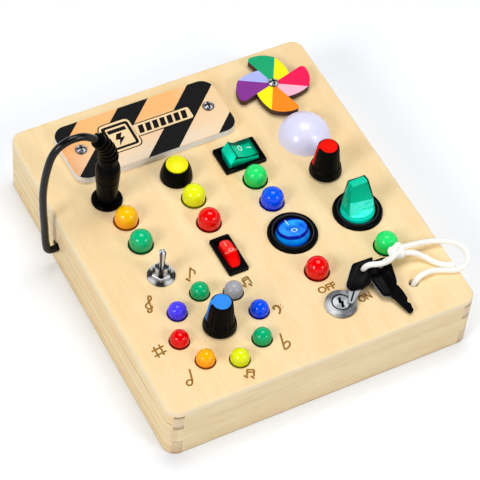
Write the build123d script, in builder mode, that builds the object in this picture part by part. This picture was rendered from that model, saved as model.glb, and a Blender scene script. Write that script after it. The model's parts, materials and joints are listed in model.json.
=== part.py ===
from build123d import *
import os
from math import asin, cos, pi, radians, sin, tan

os.makedirs("parts", exist_ok=True)

# A battery-powered activity board: a shallow pine box whose lid carries lamps, switches, knobs,
# a key lock, a power plug, a spinner and a pair of keys on a cord.
# Origin: bottom centre of the box. +X runs along the front edge, +Y to the back, +Z up. Millimetres.

# ---- driving dimensions of the box ----
board_x = 150.0
board_y = 169.0
board_z = 31.0
corner_r = 6.0
top_edge_r = 1.4
top_t = 3.0
wall_t = 6.5
wall_h = board_z - top_t
finger_h = wall_h / 3
bottom_t = 3.0
rim_w = 2.5            # wall left outside the bottom panel
panel_gap = 0.1

# ---- shared fits ----
run_gap = 0.05         # radial clearance of a shaft or pin in its hole
bushing_r = 3.0
shaft_r = 2.0
nut_across = 8.0
nut_h = 2.2

# ---- places on the lid ----
dome_at = (48.7, 28.85)
pinwheel_at = (48.7, 60.3)
plate_at = (-17.75, 59.7)
jack_at = (-50.1, 31.7)
button_at = (-15.8, 31.3)
green_at = (15.6, 29.8)
red_at = (-14.7, -19.0)
blue_at = (16.9, -19.5)
paddle_at = (49.6, -20.2)
toggle_at = (-46.5, -16.4)
red_knob_at = (47.5, 6.4)
ring_at = (-35.5, -51.0)
lock_at = (17.6, -62.9)
cord_hole_at = (52.7, -65.7)
lead_hole_at = (31.6, 10.6)      # Y and Z on the left wall

# ---- lamp caps: large ones by colour, small ones on a ring ----
big_hole_r, big_dome_r, big_dome_z, big_flange_r = 5.85, 5.2, 3.0, 6.9
small_hole_r, small_dome_r, small_dome_z, small_flange_r = 4.7, 4.2, 1.7, 6.2
ring_r = 19.2
big_spots = {
    "orange": [(-47.4, 17.35)],
    "green": [(-47.15, 2.8), (15.95, 14.9), (51.5, -42.85)],
    "lime": [(-14.4, 16.35)],
    "red": [(-14.3, 1.3), (16.8, -42.45)],
    "blue": [(16.95, 0.4)],
    "grey": [],
    "indigo": [],
}
ring_angles = {"green": [90, -45], "grey": [45], "blue": [0], "lime": [-90], "orange": [-135], "red": [180],
               "indigo": [135]}

# ---- cords ----
lead_d = 3.5
cord_d = 2.5


def write(piece, name):
    piece.part.label = name
    export_step(piece.part, f"parts/{name}.step")


def side_plane(at, z=0.0):
    """Vertical plane facing the front: x to the right, y up."""
    return Plane(origin=(at[0], at[1], z), x_dir=(1, 0, 0), z_dir=(0, -1, 0))


def crown(radius, rim_z, top_z):
    """Arc of a ball centred on the axis, from its rim to the axis."""
    rise = top_z - rim_z
    ball = (radius ** 2 + rise ** 2) / (2 * rise)
    half = asin(radius / ball) / 2
    ThreePointArc((radius, rim_z), (ball * sin(half), top_z - ball + ball * cos(half)), (0, top_z))


def upright(at):
    return Axis((at[0], at[1], 0), (0, 0, 1))


def ring_spot(angle):
    return (ring_at[0] + ring_r * cos(radians(angle)), ring_at[1] + ring_r * sin(radians(angle)))


ring_spots = {colour: [ring_spot(a) for a in angles] for colour, angles in ring_angles.items()}
all_big = [spot for spots in big_spots.values() for spot in spots]
all_small = [spot for spots in ring_spots.values() for spot in spots]

# ================================================================ box
bezel_r, bezel_h, round_body_r, round_mouth_r = 11.5, 2.0, 9.9, 8.5
green_bezel, green_body, green_mouth = (20.8, 15.0), (18.8, 12.8), (17.2, 11.4)
red_bezel, red_body, red_mouth = (9.7, 20.8), (7.9, 18.6), (6.4, 16.0)
body_gap = 0.2
plate_size, plate_t, plate_r = (80.5, 32.5), 4.0, 6.5
plate_screw_x = 32.2
lock_barrel_r = 5.9
jack_barrel_r = 5.9
button_barrel_r = 5.8
dome_peg_r, dome_peg_at = 0.9, 11.4
lamp_r = 2.5
screw_r = 1.4

with BuildPart() as top_panel:
    with BuildSketch(Plane.XY.offset(wall_h)):
        RectangleRounded(board_x, board_y, corner_r)
        with Locations(*all_big):
            Circle(big_hole_r, mode=Mode.SUBTRACT)
        with Locations(*all_small):
            Circle(small_hole_r, mode=Mode.SUBTRACT)
        with Locations(lock_at, jack_at, button_at):
            Circle(6.0, mode=Mode.SUBTRACT)
        with Locations(toggle_at, red_knob_at, ring_at):
            Circle(bushing_r + run_gap, mode=Mode.SUBTRACT)
        with Locations(blue_at, paddle_at):
            Circle(round_body_r + body_gap, mode=Mode.SUBTRACT)
        with Locations(green_at):
            Rectangle(green_body[0] + 2 * body_gap, green_body[1] + 2 * body_gap, mode=Mode.SUBTRACT)
        with Locations(red_at):
            Rectangle(red_body[0] + 2 * body_gap, red_body[1] + 2 * body_gap, mode=Mode.SUBTRACT)
        with Locations(cord_hole_at):
            Circle(2.3, mode=Mode.SUBTRACT)
        with Locations(dome_at):
            Circle(lamp_r + run_gap, mode=Mode.SUBTRACT)
            with PolarLocations(dome_peg_at, 3):
                Circle(dome_peg_r + run_gap, mode=Mode.SUBTRACT)
        with Locations(pinwheel_at, (plate_at[0] - plate_screw_x, plate_at[1]),
                       (plate_at[0] + plate_screw_x, plate_at[1])):
            Circle(screw_r + 2 * run_gap, mode=Mode.SUBTRACT)
    extrude(amount=top_t)
    fillet(top_panel.faces().sort_by(Axis.Z)[-1].outer_wire().edges(), top_edge_r)
write(top_panel, "top_panel")

# The four walls meet in box joints of three fingers. The left and right walls own the upper and lower
# finger of each corner, the front and back walls own the middle one.
bottom_half_x = board_x / 2 - rim_w - panel_gap
bottom_half_y = board_y / 2 - rim_w - panel_gap
screw_in = 5.0
bottom_screw_spots = [
    (sx * (board_x / 2 - screw_in), sy * (board_y / 2 - screw_in)) for sx in (-1, 1) for sy in (-1, 1)
] + [(sx * (board_x / 2 - screw_in), 0) for sx in (-1, 1)] + [(0, sy * (board_y / 2 - screw_in)) for sy in (-1, 1)]
bottom_screw_r = 1.2


def wall(across, sign, middle_fingers):
    """One wall: a slab of the rounded outline, less the neighbours' fingers and the panel's seat."""
    at = (sign * (board_x - wall_t) / 2, 0) if across else (0, sign * (board_y - wall_t) / 2)
    size = (wall_t, board_y) if across else (board_x, wall_t)
    cut_z = [1.5] if not middle_fingers else [0.5, 2.5]
    with BuildPart() as piece:
        with BuildSketch():
            RectangleRounded(board_x, board_y, corner_r)
        extrude(amount=wall_h)
        with BuildSketch():
            with Locations(at):
                Rectangle(*size)
        extrude(amount=wall_h, mode=Mode.INTERSECT)
        corners = [
            ((board_x - wall_t) / 2 * sx, (board_y - wall_t) / 2 * sy, finger_h * n)
            for sx in (-1, 1) for sy in (-1, 1) for n in cut_z
        ]
        with Locations(*corners):
            Box(wall_t, wall_t, finger_h, mode=Mode.SUBTRACT)
        with Locations((0, 0, bottom_t / 2)):
            Box(board_x - 2 * rim_w, board_y - 2 * rim_w, bottom_t, mode=Mode.SUBTRACT)
        with Locations(*[(x, y, 7.0) for x, y in bottom_screw_spots]):
            Cylinder(bottom_screw_r + run_gap, 9.0, mode=Mode.SUBTRACT)
    return piece


front_wall = wall(False, -1, True)
back_wall = wall(False, 1, True)
right_wall = wall(True, 1, False)
write(front_wall, "front_wall")
write(back_wall, "back_wall")
write(right_wall, "right_wall")

# The lead passes through the left wall; the laser left a shallow scorched scoop beside its hole.
left_blank = wall(True, -1, False)
scoop_depth = 0.5
with BuildPart() as left_wall:
    add(left_blank.part)
    with Locations(Location((-board_x / 2, lead_hole_at[0], lead_hole_at[1]), (0, 90, 0))):
        Cylinder(3.0, 4 * wall_t, mode=Mode.SUBTRACT)
    with BuildSketch(Plane(origin=(-board_x / 2, 0, 0), x_dir=(0, -1, 0), z_dir=(-1, 0, 0))):
        with BuildLine():
            Polyline((-31.6, 8.6), (-24.5, 14.2), (-21.5, 20.5), (-27.2, 21.0), (-31.6, 13.0), close=True)
        make_face()
    extrude(amount=-scoop_depth, mode=Mode.SUBTRACT)
write(left_wall, "left_wall")

door_size, door_gap, door_t, door_out = (60.0, 33.6), 0.3, 2.0, 0.2
bay_at = plate_at
bay_open = (56.0, 30.6)
door_screw_at = (bay_at[0] + 26.4, bay_at[1])

with BuildPart() as bottom_panel:
    Box(2 * bottom_half_x, 2 * bottom_half_y, bottom_t, align=(Align.CENTER, Align.CENTER, Align.MIN))
    with Locations((bay_at[0], bay_at[1], 0)):
        Box(*bay_open, bottom_t, align=(Align.CENTER, Align.CENTER, Align.MIN), mode=Mode.SUBTRACT)
        Box(door_size[0] + 2 * door_gap, door_size[1] + 2 * door_gap, door_out + door_t,
            align=(Align.CENTER, Align.CENTER, Align.MIN), mode=Mode.SUBTRACT)
    with Locations(*[(x, y, 0) for x, y in bottom_screw_spots]):
        Cylinder(bottom_screw_r + 0.2, 2 * bottom_t, mode=Mode.SUBTRACT)
        Cone(2.35, 1.4, 1.3, align=(Align.CENTER, Align.CENTER, Align.MIN), mode=Mode.SUBTRACT)
write(bottom_panel, "bottom_panel")


def wood_screw():
    """Countersunk cross-head screw, head down at z = 0."""
    with BuildPart() as screw:
        Cone(2.25, bottom_screw_r, 1.3, align=(Align.CENTER, Align.CENTER, Align.MIN))
        Cylinder(bottom_screw_r, 9.0, align=(Align.CENTER, Align.CENTER, Align.MIN))
        with Locations((0, 0, 9.0)):
            Cone(bottom_screw_r, 0.2, 1.6, align=(Align.CENTER, Align.CENTER, Align.MIN))
        Box(2.6, 0.5, 1.4, mode=Mode.SUBTRACT)
        Box(0.5, 2.6, 1.4, mode=Mode.SUBTRACT)
    return screw


screw_proto = wood_screw()
with BuildPart() as bottom_screws:
    with Locations(*[(x, y, 0.1) for x, y in bottom_screw_spots], (*door_screw_at, door_out + 0.1)):
        add(screw_proto.part)
write(bottom_screws, "bottom_screws")

# ================================================================ power plate and its screws
with BuildPart() as power_plate:
    with BuildSketch(Plane.XY.offset(board_z)):
        with Locations(plate_at):
            RectangleRounded(*plate_size, plate_r)
            with Locations((-plate_screw_x, 0), (plate_screw_x, 0)):
                Circle(screw_r + 2 * run_gap, mode=Mode.SUBTRACT)
    extrude(amount=plate_t)
    fillet(power_plate.faces().sort_by(Axis.Z)[-1].outer_wire().edges(), 0.5)
write(power_plate, "power_plate")


def pan_screw(at, seat_z, head_r, head_h, shank_r, tip_z):
    """Domed cross-head screw whose head sits on seat_z."""
    with BuildPart() as screw:
        with BuildSketch(side_plane(at)):
            with BuildLine():
                Polyline((0, seat_z + head_h), (0, tip_z), (shank_r, tip_z + 2.0), (shank_r, seat_z), (head_r, seat_z),
                         (head_r, seat_z + 0.35 * head_h))
                crown(head_r, seat_z + 0.35 * head_h, seat_z + head_h)
            make_face()
        revolve(axis=upright(at))
        with Locations((*at, seat_z + head_h)):
            Box(1.3 * head_r, 0.55, 1.4, mode=Mode.SUBTRACT)
            Box(0.55, 1.3 * head_r, 1.4, mode=Mode.SUBTRACT)
    return screw


plate_top = board_z + plate_t
plate_screw_left = pan_screw((plate_at[0] - plate_screw_x, plate_at[1]), plate_top, 2.7, 1.7, screw_r, 23.0)
plate_screw_right = pan_screw((plate_at[0] + plate_screw_x, plate_at[1]), plate_top, 2.7, 1.7, screw_r, 23.0)
with BuildPart() as plate_screws:
    add(plate_screw_left.part)
    add(plate_screw_right.part)
write(plate_screws, "plate_screws")

# ================================================================ power jack, plug and lead
jack_bore_r, jack_pin_r, jack_floor_z, jack_top_z = 2.85, 1.0, 19.0, board_z + 1.5
plug_z = board_z + 1.8
barrel_len = 11.5
barrel_r, barrel_bore_r, barrel_root_r = jack_bore_r - 0.08, jack_pin_r + 0.08, 2.0

with BuildPart() as dc_jack:
    with BuildSketch(side_plane(jack_at)):
        with BuildLine():
            Polyline((0, 17.0), (jack_barrel_r, 17.0), (jack_barrel_r, board_z), (7.1, board_z),
                     (7.1, board_z + 0.9), (6.3, jack_top_z), (jack_bore_r, jack_top_z), (jack_bore_r, jack_floor_z),
                     (jack_pin_r, jack_floor_z), (jack_pin_r, jack_top_z - 1.5), (0, jack_top_z - 1.0), close=True)
        make_face()
    revolve(axis=upright(jack_at))
write(dc_jack, "dc_jack")


def hex_nut(at, bottom_z, across, height, hole_r):
    with BuildPart() as nut:
        with BuildSketch(Plane.XY.offset(bottom_z)):
            with Locations(at):
                RegularPolygon(across / 2, 6, major_radius=False)
                Circle(hole_r, mode=Mode.SUBTRACT)
        extrude(amount=height)
        chamfer(nut.faces().sort_by(Axis.Z)[-1].outer_wire().edges(), 0.35)
    return nut


jack_nut = hex_nut(jack_at, wall_h - 2.6, 14.0, 2.55, jack_barrel_r + run_gap)
lock_nut = hex_nut(lock_at, wall_h - 2.6, 14.0, 2.55, lock_barrel_r + run_gap)
with BuildPart() as panel_nuts:
    add(jack_nut.part)
    add(lock_nut.part)
write(panel_nuts, "panel_nuts")

# The plug's moulded body stands on the jack; its ribbed boot bends towards the left edge of the board.
boot_r0, boot_r1, rib_out = 4.2, 3.0, 0.45
boot_low_z, boot_straight_z = board_z + 26.0, board_z + 29.0
boot_bend_r, boot_bend = 22.1, 40.9


def boot_plane(angle):
    """Cross-section of the boot, angle degrees round its bend."""
    t = radians(angle)
    centre = (jack_at[0] - boot_bend_r * (1 - cos(t)), jack_at[1], boot_straight_z + boot_bend_r * sin(t))
    return Plane(origin=centre, x_dir=(cos(t), 0, sin(t)), z_dir=(-sin(t), 0, cos(t)))


with BuildPart() as dc_plug:
    with BuildSketch(side_plane(jack_at)):
        with BuildLine():
            Polyline((barrel_root_r, plug_z), (4.6, plug_z), (4.7, board_z + 6.0), (4.5, board_z + 6.4),
                     (4.8, board_z + 6.8), (5.2, board_z + 13.0), (5.4, board_z + 15.2), (5.15, board_z + 15.6),
                     (5.5, board_z + 16.0), (5.65, board_z + 20.0), (5.5, board_z + 23.0), (4.9, board_z + 25.0),
                     (boot_r0, boot_low_z), (boot_r0 - 0.1, boot_straight_z), (0, boot_straight_z),
                     (0, plug_z + 4.0), (barrel_root_r, plug_z + 4.0), close=True)
        make_face()
    revolve(axis=upright(jack_at))
    for step in range(5):
        boot_angle = step * boot_bend / 4
        with BuildSketch(boot_plane(boot_angle)):
            Circle(boot_r0 - 0.1 - (boot_r0 - 0.1 - boot_r1) * step / 4)
    loft()
    for rib in range(6):
        rib_angle = 1.5 + rib * 6.9
        with BuildSketch(boot_plane(rib_angle)):
            Circle(boot_r0 + rib_out - (boot_r0 - boot_r1) * rib / 5)
        extrude(amount=1.5)
write(dc_plug, "dc_plug")

with BuildPart() as dc_plug_barrel:
    with BuildSketch(side_plane(jack_at)):
        with BuildLine():
            Polyline((barrel_bore_r, plug_z - barrel_len), (barrel_r, plug_z - barrel_len), (barrel_r, plug_z),
                     (barrel_root_r, plug_z), (barrel_root_r, plug_z + 4.0), (barrel_bore_r, plug_z + 4.0), close=True)
        make_face()
    revolve(axis=upright(jack_at))
write(dc_plug_barrel, "dc_plug_barrel")


def tube(route, diameter, name, place=0.45):
    """A cord's tube: straight runs joined by arcs as large as their runs allow."""
    points = [Vector(*p) for p in route]
    radii = []
    for before, here, after in zip(points, points[1:], points[2:]):
        turn = (here - before).get_angle(after - here)
        shorter = min((here - before).length, (after - here).length)
        radii.append(place * shorter / tan(radians(turn) / 2))
    with BuildPart() as piece:
        with BuildLine() as path:
            FilletPolyline(*route, radius=radii)
        with BuildSketch(Plane(origin=route[0], z_dir=points[1] - points[0])):
            Circle(diameter / 2)
        sweep()
    length = sum(edge.length for edge in path.edges())
    section = pi * diameter ** 2 / 4
    print(name, "length", round(length, 1), "volume/section", round(piece.part.volume / section, 1),
          "radii in diameters", [round(r / diameter, 1) for r in radii])
    return piece


boot_end = boot_plane(boot_bend)
lead_start = boot_end.origin
lead_second = lead_start + boot_end.z_dir * 6.25
lead_route = [tuple(lead_start), tuple(lead_second), (-65.76, 31.7, 81.24), (-72.09, 31.7, 79.79),
              (-76.77, 31.7, 75.29), (-79.51, 31.7, 65.15), (-81.25, 31.7, 52.77), (-81.2, 31.6, 39.5),
              (-80.6, 31.5, 27.5), (-80.4, 31.2, 17.0), (-79.6, 30.6, 9.6), (-71.3, 31.4, 10.3),
              (-63.5, 31.9, 10.7), (-56.12, 31.6, 10.9), (-50.69, 34.73, 10.9), (-47.55, 40.16, 10.9),
              (-47.55, 46.2, 10.9)]
power_lead = tube(lead_route, lead_d, "power_lead")
write(power_lead, "power_lead")

# ================================================================ push button
button_cap_r, button_bore_r = 5.04, 5.12
button_top_z = board_z + 8.0
button_floor_z = 25.0
spring_wire_r, spring_r, spring_low, spring_high = 0.35, 3.3, 27.4, 32.6

with BuildPart() as button_housing:
    with BuildSketch(side_plane(button_at)):
        with BuildLine():
            Polyline((0, 17.0), (4.8, 17.0), (5.8, 18.5), (5.8, board_z), (7.45, board_z), (7.45, board_z + 0.8))
            ThreePointArc((7.45, board_z + 0.8), (6.75, board_z + 4.8), (5.6, button_top_z))
            Polyline((5.6, button_top_z), (button_bore_r, button_top_z), (button_bore_r, 27.0),
                     (1.85, 27.0), (1.85, 25.0), (3.6, 25.0), (3.6, 19.0), (0, 19.0), (0, 17.0))
        make_face()
    revolve(axis=upright(button_at))
write(button_housing, "button_housing")

with BuildPart() as button_cap:
    with BuildSketch(side_plane(button_at)):
        with BuildLine():
            Polyline((0, board_z + 10.0), (0, 21.6), (1.6, 21.6), (2.6, 23.4), (2.6, 24.8), (1.8, 24.8),
                     (1.8, 33.0), (button_cap_r, 33.0), (button_cap_r, board_z + 8.7))
            crown(button_cap_r, board_z + 8.7, board_z + 10.0)
        make_face()
    revolve(axis=upright(button_at))
write(button_cap, "button_cap")

with BuildPart() as button_spring:
    with BuildLine() as coil:
        Helix(pitch=(spring_high - spring_low) / 4, height=spring_high - spring_low, radius=spring_r,
              center=(*button_at, spring_low))
    with BuildSketch(Plane(origin=coil.line @ 0, z_dir=coil.line % 0)):
        Circle(spring_wire_r)
    sweep()
write(button_spring, "button_spring")

# ================================================================ rocker switches
pivot_z = board_z
body_depth = 14.0
cavity_depth = 8.0
green_pin = (1.2, 6.15)      # radius and reach of the pins on each side
red_pin = (0.8, 3.75)
round_pin = (1.2, 9.4)


def box_frame(at, bezel, body, mouth, pin, along_x):
    """Rectangular switch body: bezel on the lid, box below it, mouth and the rocker's pin holes."""
    turn = (0, 90, 0) if along_x else (90, 0, 0)
    with BuildPart() as piece:
        with BuildSketch(Plane.XY.offset(board_z)):
            with Locations(at):
                RectangleRounded(*bezel, 0.9)
        extrude(amount=bezel_h)
        chamfer(piece.faces().sort_by(Axis.Z)[-1].outer_wire().edges(), 0.5)
        with BuildSketch(Plane.XY.offset(board_z)):
            with Locations(at):
                Rectangle(*body)
        extrude(amount=-body_depth)
        with BuildSketch(Plane.XY.offset(board_z + bezel_h)):
            with Locations(at):
                Rectangle(*mouth)
        extrude(amount=-bezel_h - cavity_depth, mode=Mode.SUBTRACT)
        with Locations(Location((*at, pivot_z), turn)):
            Cylinder(pin[0] + run_gap, 2 * (pin[1] + run_gap), mode=Mode.SUBTRACT)
    return piece


def round_frame(at):
    """Round switch body with a rolled bezel."""
    with BuildPart() as piece:
        with BuildSketch(side_plane(at)):
            with BuildLine():
                Polyline((bezel_r, board_z + 0.4), (bezel_r, board_z), (round_body_r, board_z),
                         (round_body_r, board_z - body_depth), (0, board_z - body_depth),
                         (0, board_z - cavity_depth), (round_mouth_r, board_z - cavity_depth),
                         (round_mouth_r, board_z + 1.5))
                ThreePointArc((round_mouth_r, board_z + 1.5), (round_mouth_r + 0.9, board_z + bezel_h),
                              (bezel_r, board_z + 0.4))
            make_face()
        revolve(axis=upright(at))
        with Locations(Location((*at, pivot_z), (0, 90, 0))):
            Cylinder(round_pin[0] + run_gap, 2 * (round_pin[1] + run_gap), mode=Mode.SUBTRACT)
    return piece


green_rocker_frame = box_frame(green_at, green_bezel, green_body, green_mouth, green_pin, False)
red_rocker_frame = box_frame(red_at, red_bezel, red_body, red_mouth, red_pin, True)
blue_rocker_frame = round_frame(blue_at)
paddle_frame = round_frame(paddle_at)
write(green_rocker_frame, "green_rocker_frame")
write(red_rocker_frame, "red_rocker_frame")
write(blue_rocker_frame, "blue_rocker_frame")
write(paddle_frame, "paddle_frame")

# Each rocker rests at one end of its tilt: green pressed on the right, red in front, blue at the back,
# the paddle leaning back.
green_tilt, red_tilt, blue_tilt, paddle_tilt = 12.0, 12.0, 14.0, 11.0


def tilt_about_y(at, tilt):
    t = radians(tilt)
    return Plane(origin=(*at, pivot_z), x_dir=(cos(t), 0, -sin(t)), z_dir=(0, -1, 0))


def tilt_about_x(at, tilt):
    t = radians(tilt)
    return Plane(origin=(*at, pivot_z), x_dir=(0, cos(t), sin(t)), z_dir=(1, 0, 0))


with BuildPart() as green_rocker:
    with BuildSketch(tilt_about_y(green_at, green_tilt)):
        with BuildLine():
            Polyline((5.6, 6.3), (7.4, 1.5), (5.2, -4.5), (-5.2, -4.5), (-7.4, 1.5), (-5.6, 6.3))
            ThreePointArc((-5.6, 6.3), (0, 4.7), (5.6, 6.3))
        make_face()
    extrude(amount=4.9, both=True)
    with Locations(Location((*green_at, pivot_z), (90, 0, 0))):
        Cylinder(green_pin[0], 2 * green_pin[1])
write(green_rocker, "green_rocker")

red_rocker_w, red_rocker_l = 5.7, 14.2
red_plan = Plane(origin=(*red_at, pivot_z), x_dir=(1, 0, 0),
                 z_dir=(0, -sin(radians(red_tilt)), cos(radians(red_tilt))))
with BuildPart() as red_rocker:
    with BuildSketch(red_plan):
        SlotOverall(red_rocker_l, red_rocker_w, rotation=90)
    extrude(amount=6.0, both=True)
    with BuildSketch(tilt_about_x(red_at, red_tilt)):
        with BuildLine():
            Polyline((-0.9, 4.7), (-7.2, 2.2), (-7.2, -3.0), (7.2, -3.0), (7.2, 2.2), (0.9, 4.7))
            ThreePointArc((0.9, 4.7), (0, 4.9), (-0.9, 4.7))
        make_face()
    extrude(amount=red_rocker_w, both=True, mode=Mode.INTERSECT)
    with Locations(Location((*red_at, pivot_z), (0, 90, 0))):
        Cylinder(red_pin[0], 2 * red_pin[1])
write(red_rocker, "red_rocker")


def leaning_plane(at, tilt, height=0.0):
    """Cross-section plane of a piece that is tilted about X."""
    t = radians(tilt)
    up = (0, -sin(t), cos(t))
    return Plane(origin=(at[0], at[1] + up[1] * height, pivot_z + up[2] * height), x_dir=(1, 0, 0), z_dir=up)


def leaning_profile(at, tilt):
    t = radians(tilt)
    return Plane(origin=(*at, pivot_z), x_dir=(1, 0, 0), z_dir=(0, -cos(t), -sin(t)))


def leaning_axis(at, tilt):
    t = radians(tilt)
    return Axis((*at, pivot_z), (0, -sin(t), cos(t)))


with BuildPart() as blue_rocker:
    with BuildSketch(leaning_profile(blue_at, -blue_tilt)):
        with BuildLine():
            Polyline((0, -3.5), (6.8, -3.5), (7.9, 0.6), (6.9, 5.0), (6.5, 5.4), (0, 5.2), close=True)
        make_face()
    revolve(axis=leaning_axis(blue_at, -blue_tilt))
    with Locations(Location((*blue_at, pivot_z), (0, 90, 0))):
        Cylinder(round_pin[0], 2 * round_pin[1])
write(blue_rocker, "blue_rocker")

paddle_sections = ((1.6, 14.6, 9.4, 3.6), (7.0, 13.2, 6.6, 2.4), (18.3, 8.2, 3.4, 1.5))
with BuildPart() as paddle:
    with BuildSketch(leaning_profile(paddle_at, -paddle_tilt)):
        with BuildLine():
            Polyline((0, 4.4), (0, -3.5), (6.8, -3.5), (7.9, 0.6), (7.7, 2.2))
            ThreePointArc((7.7, 2.2), (5.6, 3.9), (0, 4.4))
        make_face()
    revolve(axis=leaning_axis(paddle_at, -paddle_tilt))
    for low, high in zip(paddle_sections, paddle_sections[1:]):
        with BuildSketch(leaning_plane(paddle_at, -paddle_tilt, low[0])) as low_face:
            RectangleRounded(*low[1:])
        with BuildSketch(leaning_plane(paddle_at, -paddle_tilt, high[0])) as high_face:
            RectangleRounded(*high[1:])
        loft(sections=[low_face.sketch, high_face.sketch])
    with Locations(Location((*paddle_at, pivot_z), (0, 90, 0))):
        Cylinder(round_pin[0], 2 * round_pin[1])
write(paddle, "paddle")

# ================================================================ toggle switch
toggle_body_bottom = wall_h - 9.7
bushing_top_z = board_z + 6.5
lever_pivot_z = 33.5
lever_top_z = board_z + 18.0
lever_ball_r, lever_tip_r = 2.2, 1.6

with BuildPart() as toggle_body:
    with Locations((*toggle_at, toggle_body_bottom)):
        Box(8.0, 13.0, 9.65, align=(Align.CENTER, Align.CENTER, Align.MIN))
    with Locations((*toggle_at, wall_h - 0.1)):
        Cylinder(bushing_r, bushing_top_z - wall_h + 0.1, align=(Align.CENTER, Align.CENTER, Align.MIN))
    with Locations((*toggle_at, bushing_top_z)):
        Cylinder(2.28, 7.0, align=(Align.CENTER, Align.CENTER, Align.MAX), mode=Mode.SUBTRACT)
write(toggle_body, "toggle_body")

with BuildPart() as toggle_washer:
    with BuildSketch(Plane.XY.offset(board_z)):
        with Locations(toggle_at):
            Circle(6.25)
            Circle(bushing_r + run_gap, mode=Mode.SUBTRACT)
    extrude(amount=0.8)
write(toggle_washer, "toggle_washer")

with BuildPart() as toggle_lever:
    with BuildSketch(side_plane(toggle_at)):
        with BuildLine():
            Line((0, lever_pivot_z - lever_ball_r), (0, lever_top_z))
            crown(lever_tip_r, lever_top_z - lever_tip_r, lever_top_z)
            Polyline((lever_tip_r, lever_top_z - lever_tip_r), (1.15, bushing_top_z + 1.0),
                     (lever_ball_r * cos(pi / 3), lever_pivot_z + lever_ball_r * sin(pi / 3)))
            ThreePointArc((lever_ball_r * cos(pi / 3), lever_pivot_z + lever_ball_r * sin(pi / 3)),
                          (lever_ball_r * cos(-pi / 12), lever_pivot_z + lever_ball_r * sin(-pi / 12)),
                          (0, lever_pivot_z - lever_ball_r))
        make_face()
    revolve(axis=upright(toggle_at))
write(toggle_lever, "toggle_lever")

toggle_nut = hex_nut(toggle_at, board_z + 0.8, nut_across, nut_h, bushing_r + run_gap)
red_knob_nut = hex_nut(red_knob_at, board_z, nut_across, nut_h, bushing_r + run_gap)
blue_knob_nut = hex_nut(ring_at, board_z, nut_across, nut_h, bushing_r + run_gap)
with BuildPart() as bushing_nuts:
    add(toggle_nut.part)
    add(red_knob_nut.part)
    add(blue_knob_nut.part)
write(bushing_nuts, "bushing_nuts")

# ================================================================ pinwheel
spinner_z, spinner_t, spinner_bore = board_z + 1.0, 3.0, 1.55
with BuildSketch() as blade_outline:
    with BuildLine():
        Polyline((0, -10.3), (0, 0), (10.3, 0), (16.9, 0))
        ThreePointArc((16.9, 0), (18.2, -0.7), (18.6, -2.2))
        ThreePointArc((18.6, -2.2), (16.6, -7.2), (11.6, -11.6))
        ThreePointArc((11.6, -11.6), (5.6, -11.7), (0, -10.3))
    make_face()

with BuildPart() as pinwheel:
    with BuildSketch(Plane.XY.offset(spinner_z)):
        with Locations(pinwheel_at):
            with PolarLocations(0, 4, start_angle=15):
                add(blade_outline.sketch)
            Circle(3.0)
            Circle(spinner_bore, mode=Mode.SUBTRACT)
    extrude(amount=spinner_t)
write(pinwheel, "pinwheel")

pinwheel_screw = pan_screw(pinwheel_at, spinner_z + spinner_t + 0.1, 2.35, 1.9, spinner_bore - run_gap, 23.0)
write(pinwheel_screw, "pinwheel_screw")

with BuildPart() as pinwheel_spacer:
    with BuildSketch(Plane.XY.offset(board_z)):
        with Locations(pinwheel_at):
            Circle(3.2)
            Circle(spinner_bore + run_gap, mode=Mode.SUBTRACT)
    extrude(amount=0.9)
write(pinwheel_spacer, "pinwheel_spacer")

# ================================================================ dome light
dome_r, dome_h, dome_wall = 12.4, 10.8, 1.3
with BuildPart() as dome_lamp_cover:
    with BuildSketch(side_plane(dome_at)):
        with BuildLine():
            Line((dome_r - dome_wall, board_z), (dome_r, board_z))
            crown(dome_r, board_z, board_z + dome_h)
            Line((0, board_z + dome_h), (0, board_z + dome_h - dome_wall))
            crown(dome_r - dome_wall, board_z, board_z + dome_h - dome_wall)
        make_face()
    revolve(axis=upright(dome_at))
    with Locations((*dome_at, 0)):
        with PolarLocations(dome_peg_at, 3):
            with Locations((0, 0, board_z + 0.6)):
                Cylinder(dome_peg_r, 3.4, align=(Align.CENTER, Align.CENTER, Align.MAX))
write(dome_lamp_cover, "dome_lamp_cover")

# ================================================================ knobs on their controls
knob_low, knob_high = board_z + 0.8, board_z + 17.3
knob_insert_z = board_z + 16.4
pointer_angle = 154.0
pointer_w = 1.3
bushing_high = board_z + 5.0


def pointer_strip(at):
    """The coloured line that runs from the top disc down the side of the knob."""
    t = radians(pointer_angle)
    with BuildPart() as strip:
        with BuildSketch(Plane(origin=(*at, board_z), x_dir=(cos(t), sin(t), 0), z_dir=(sin(t), -cos(t), 0))):
            with BuildLine():
                Polyline((3.5, 16.4), (3.5, 17.6), (4.7, 17.6), (5.1, 16.6), (6.4, 5.6), (5.9, 5.6), (4.75, 15.8),
                         (4.6, 16.4), close=True)
            make_face()
        extrude(amount=pointer_w / 2, both=True)
    return strip


def knob_disc(at):
    with BuildPart() as disc:
        with BuildSketch(Plane.XY.offset(knob_insert_z)):
            with Locations(at):
                Circle(4.3)
        extrude(amount=knob_high + 0.3 - knob_insert_z)
        fillet(disc.faces().sort_by(Axis.Z)[-1].edges(), 0.3)
    return disc


def knob_cap(at):
    disc = knob_disc(at)
    strip = pointer_strip(at)
    with BuildPart() as cap:
        add(disc.part)
        add(strip.part)
    return cap


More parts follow.
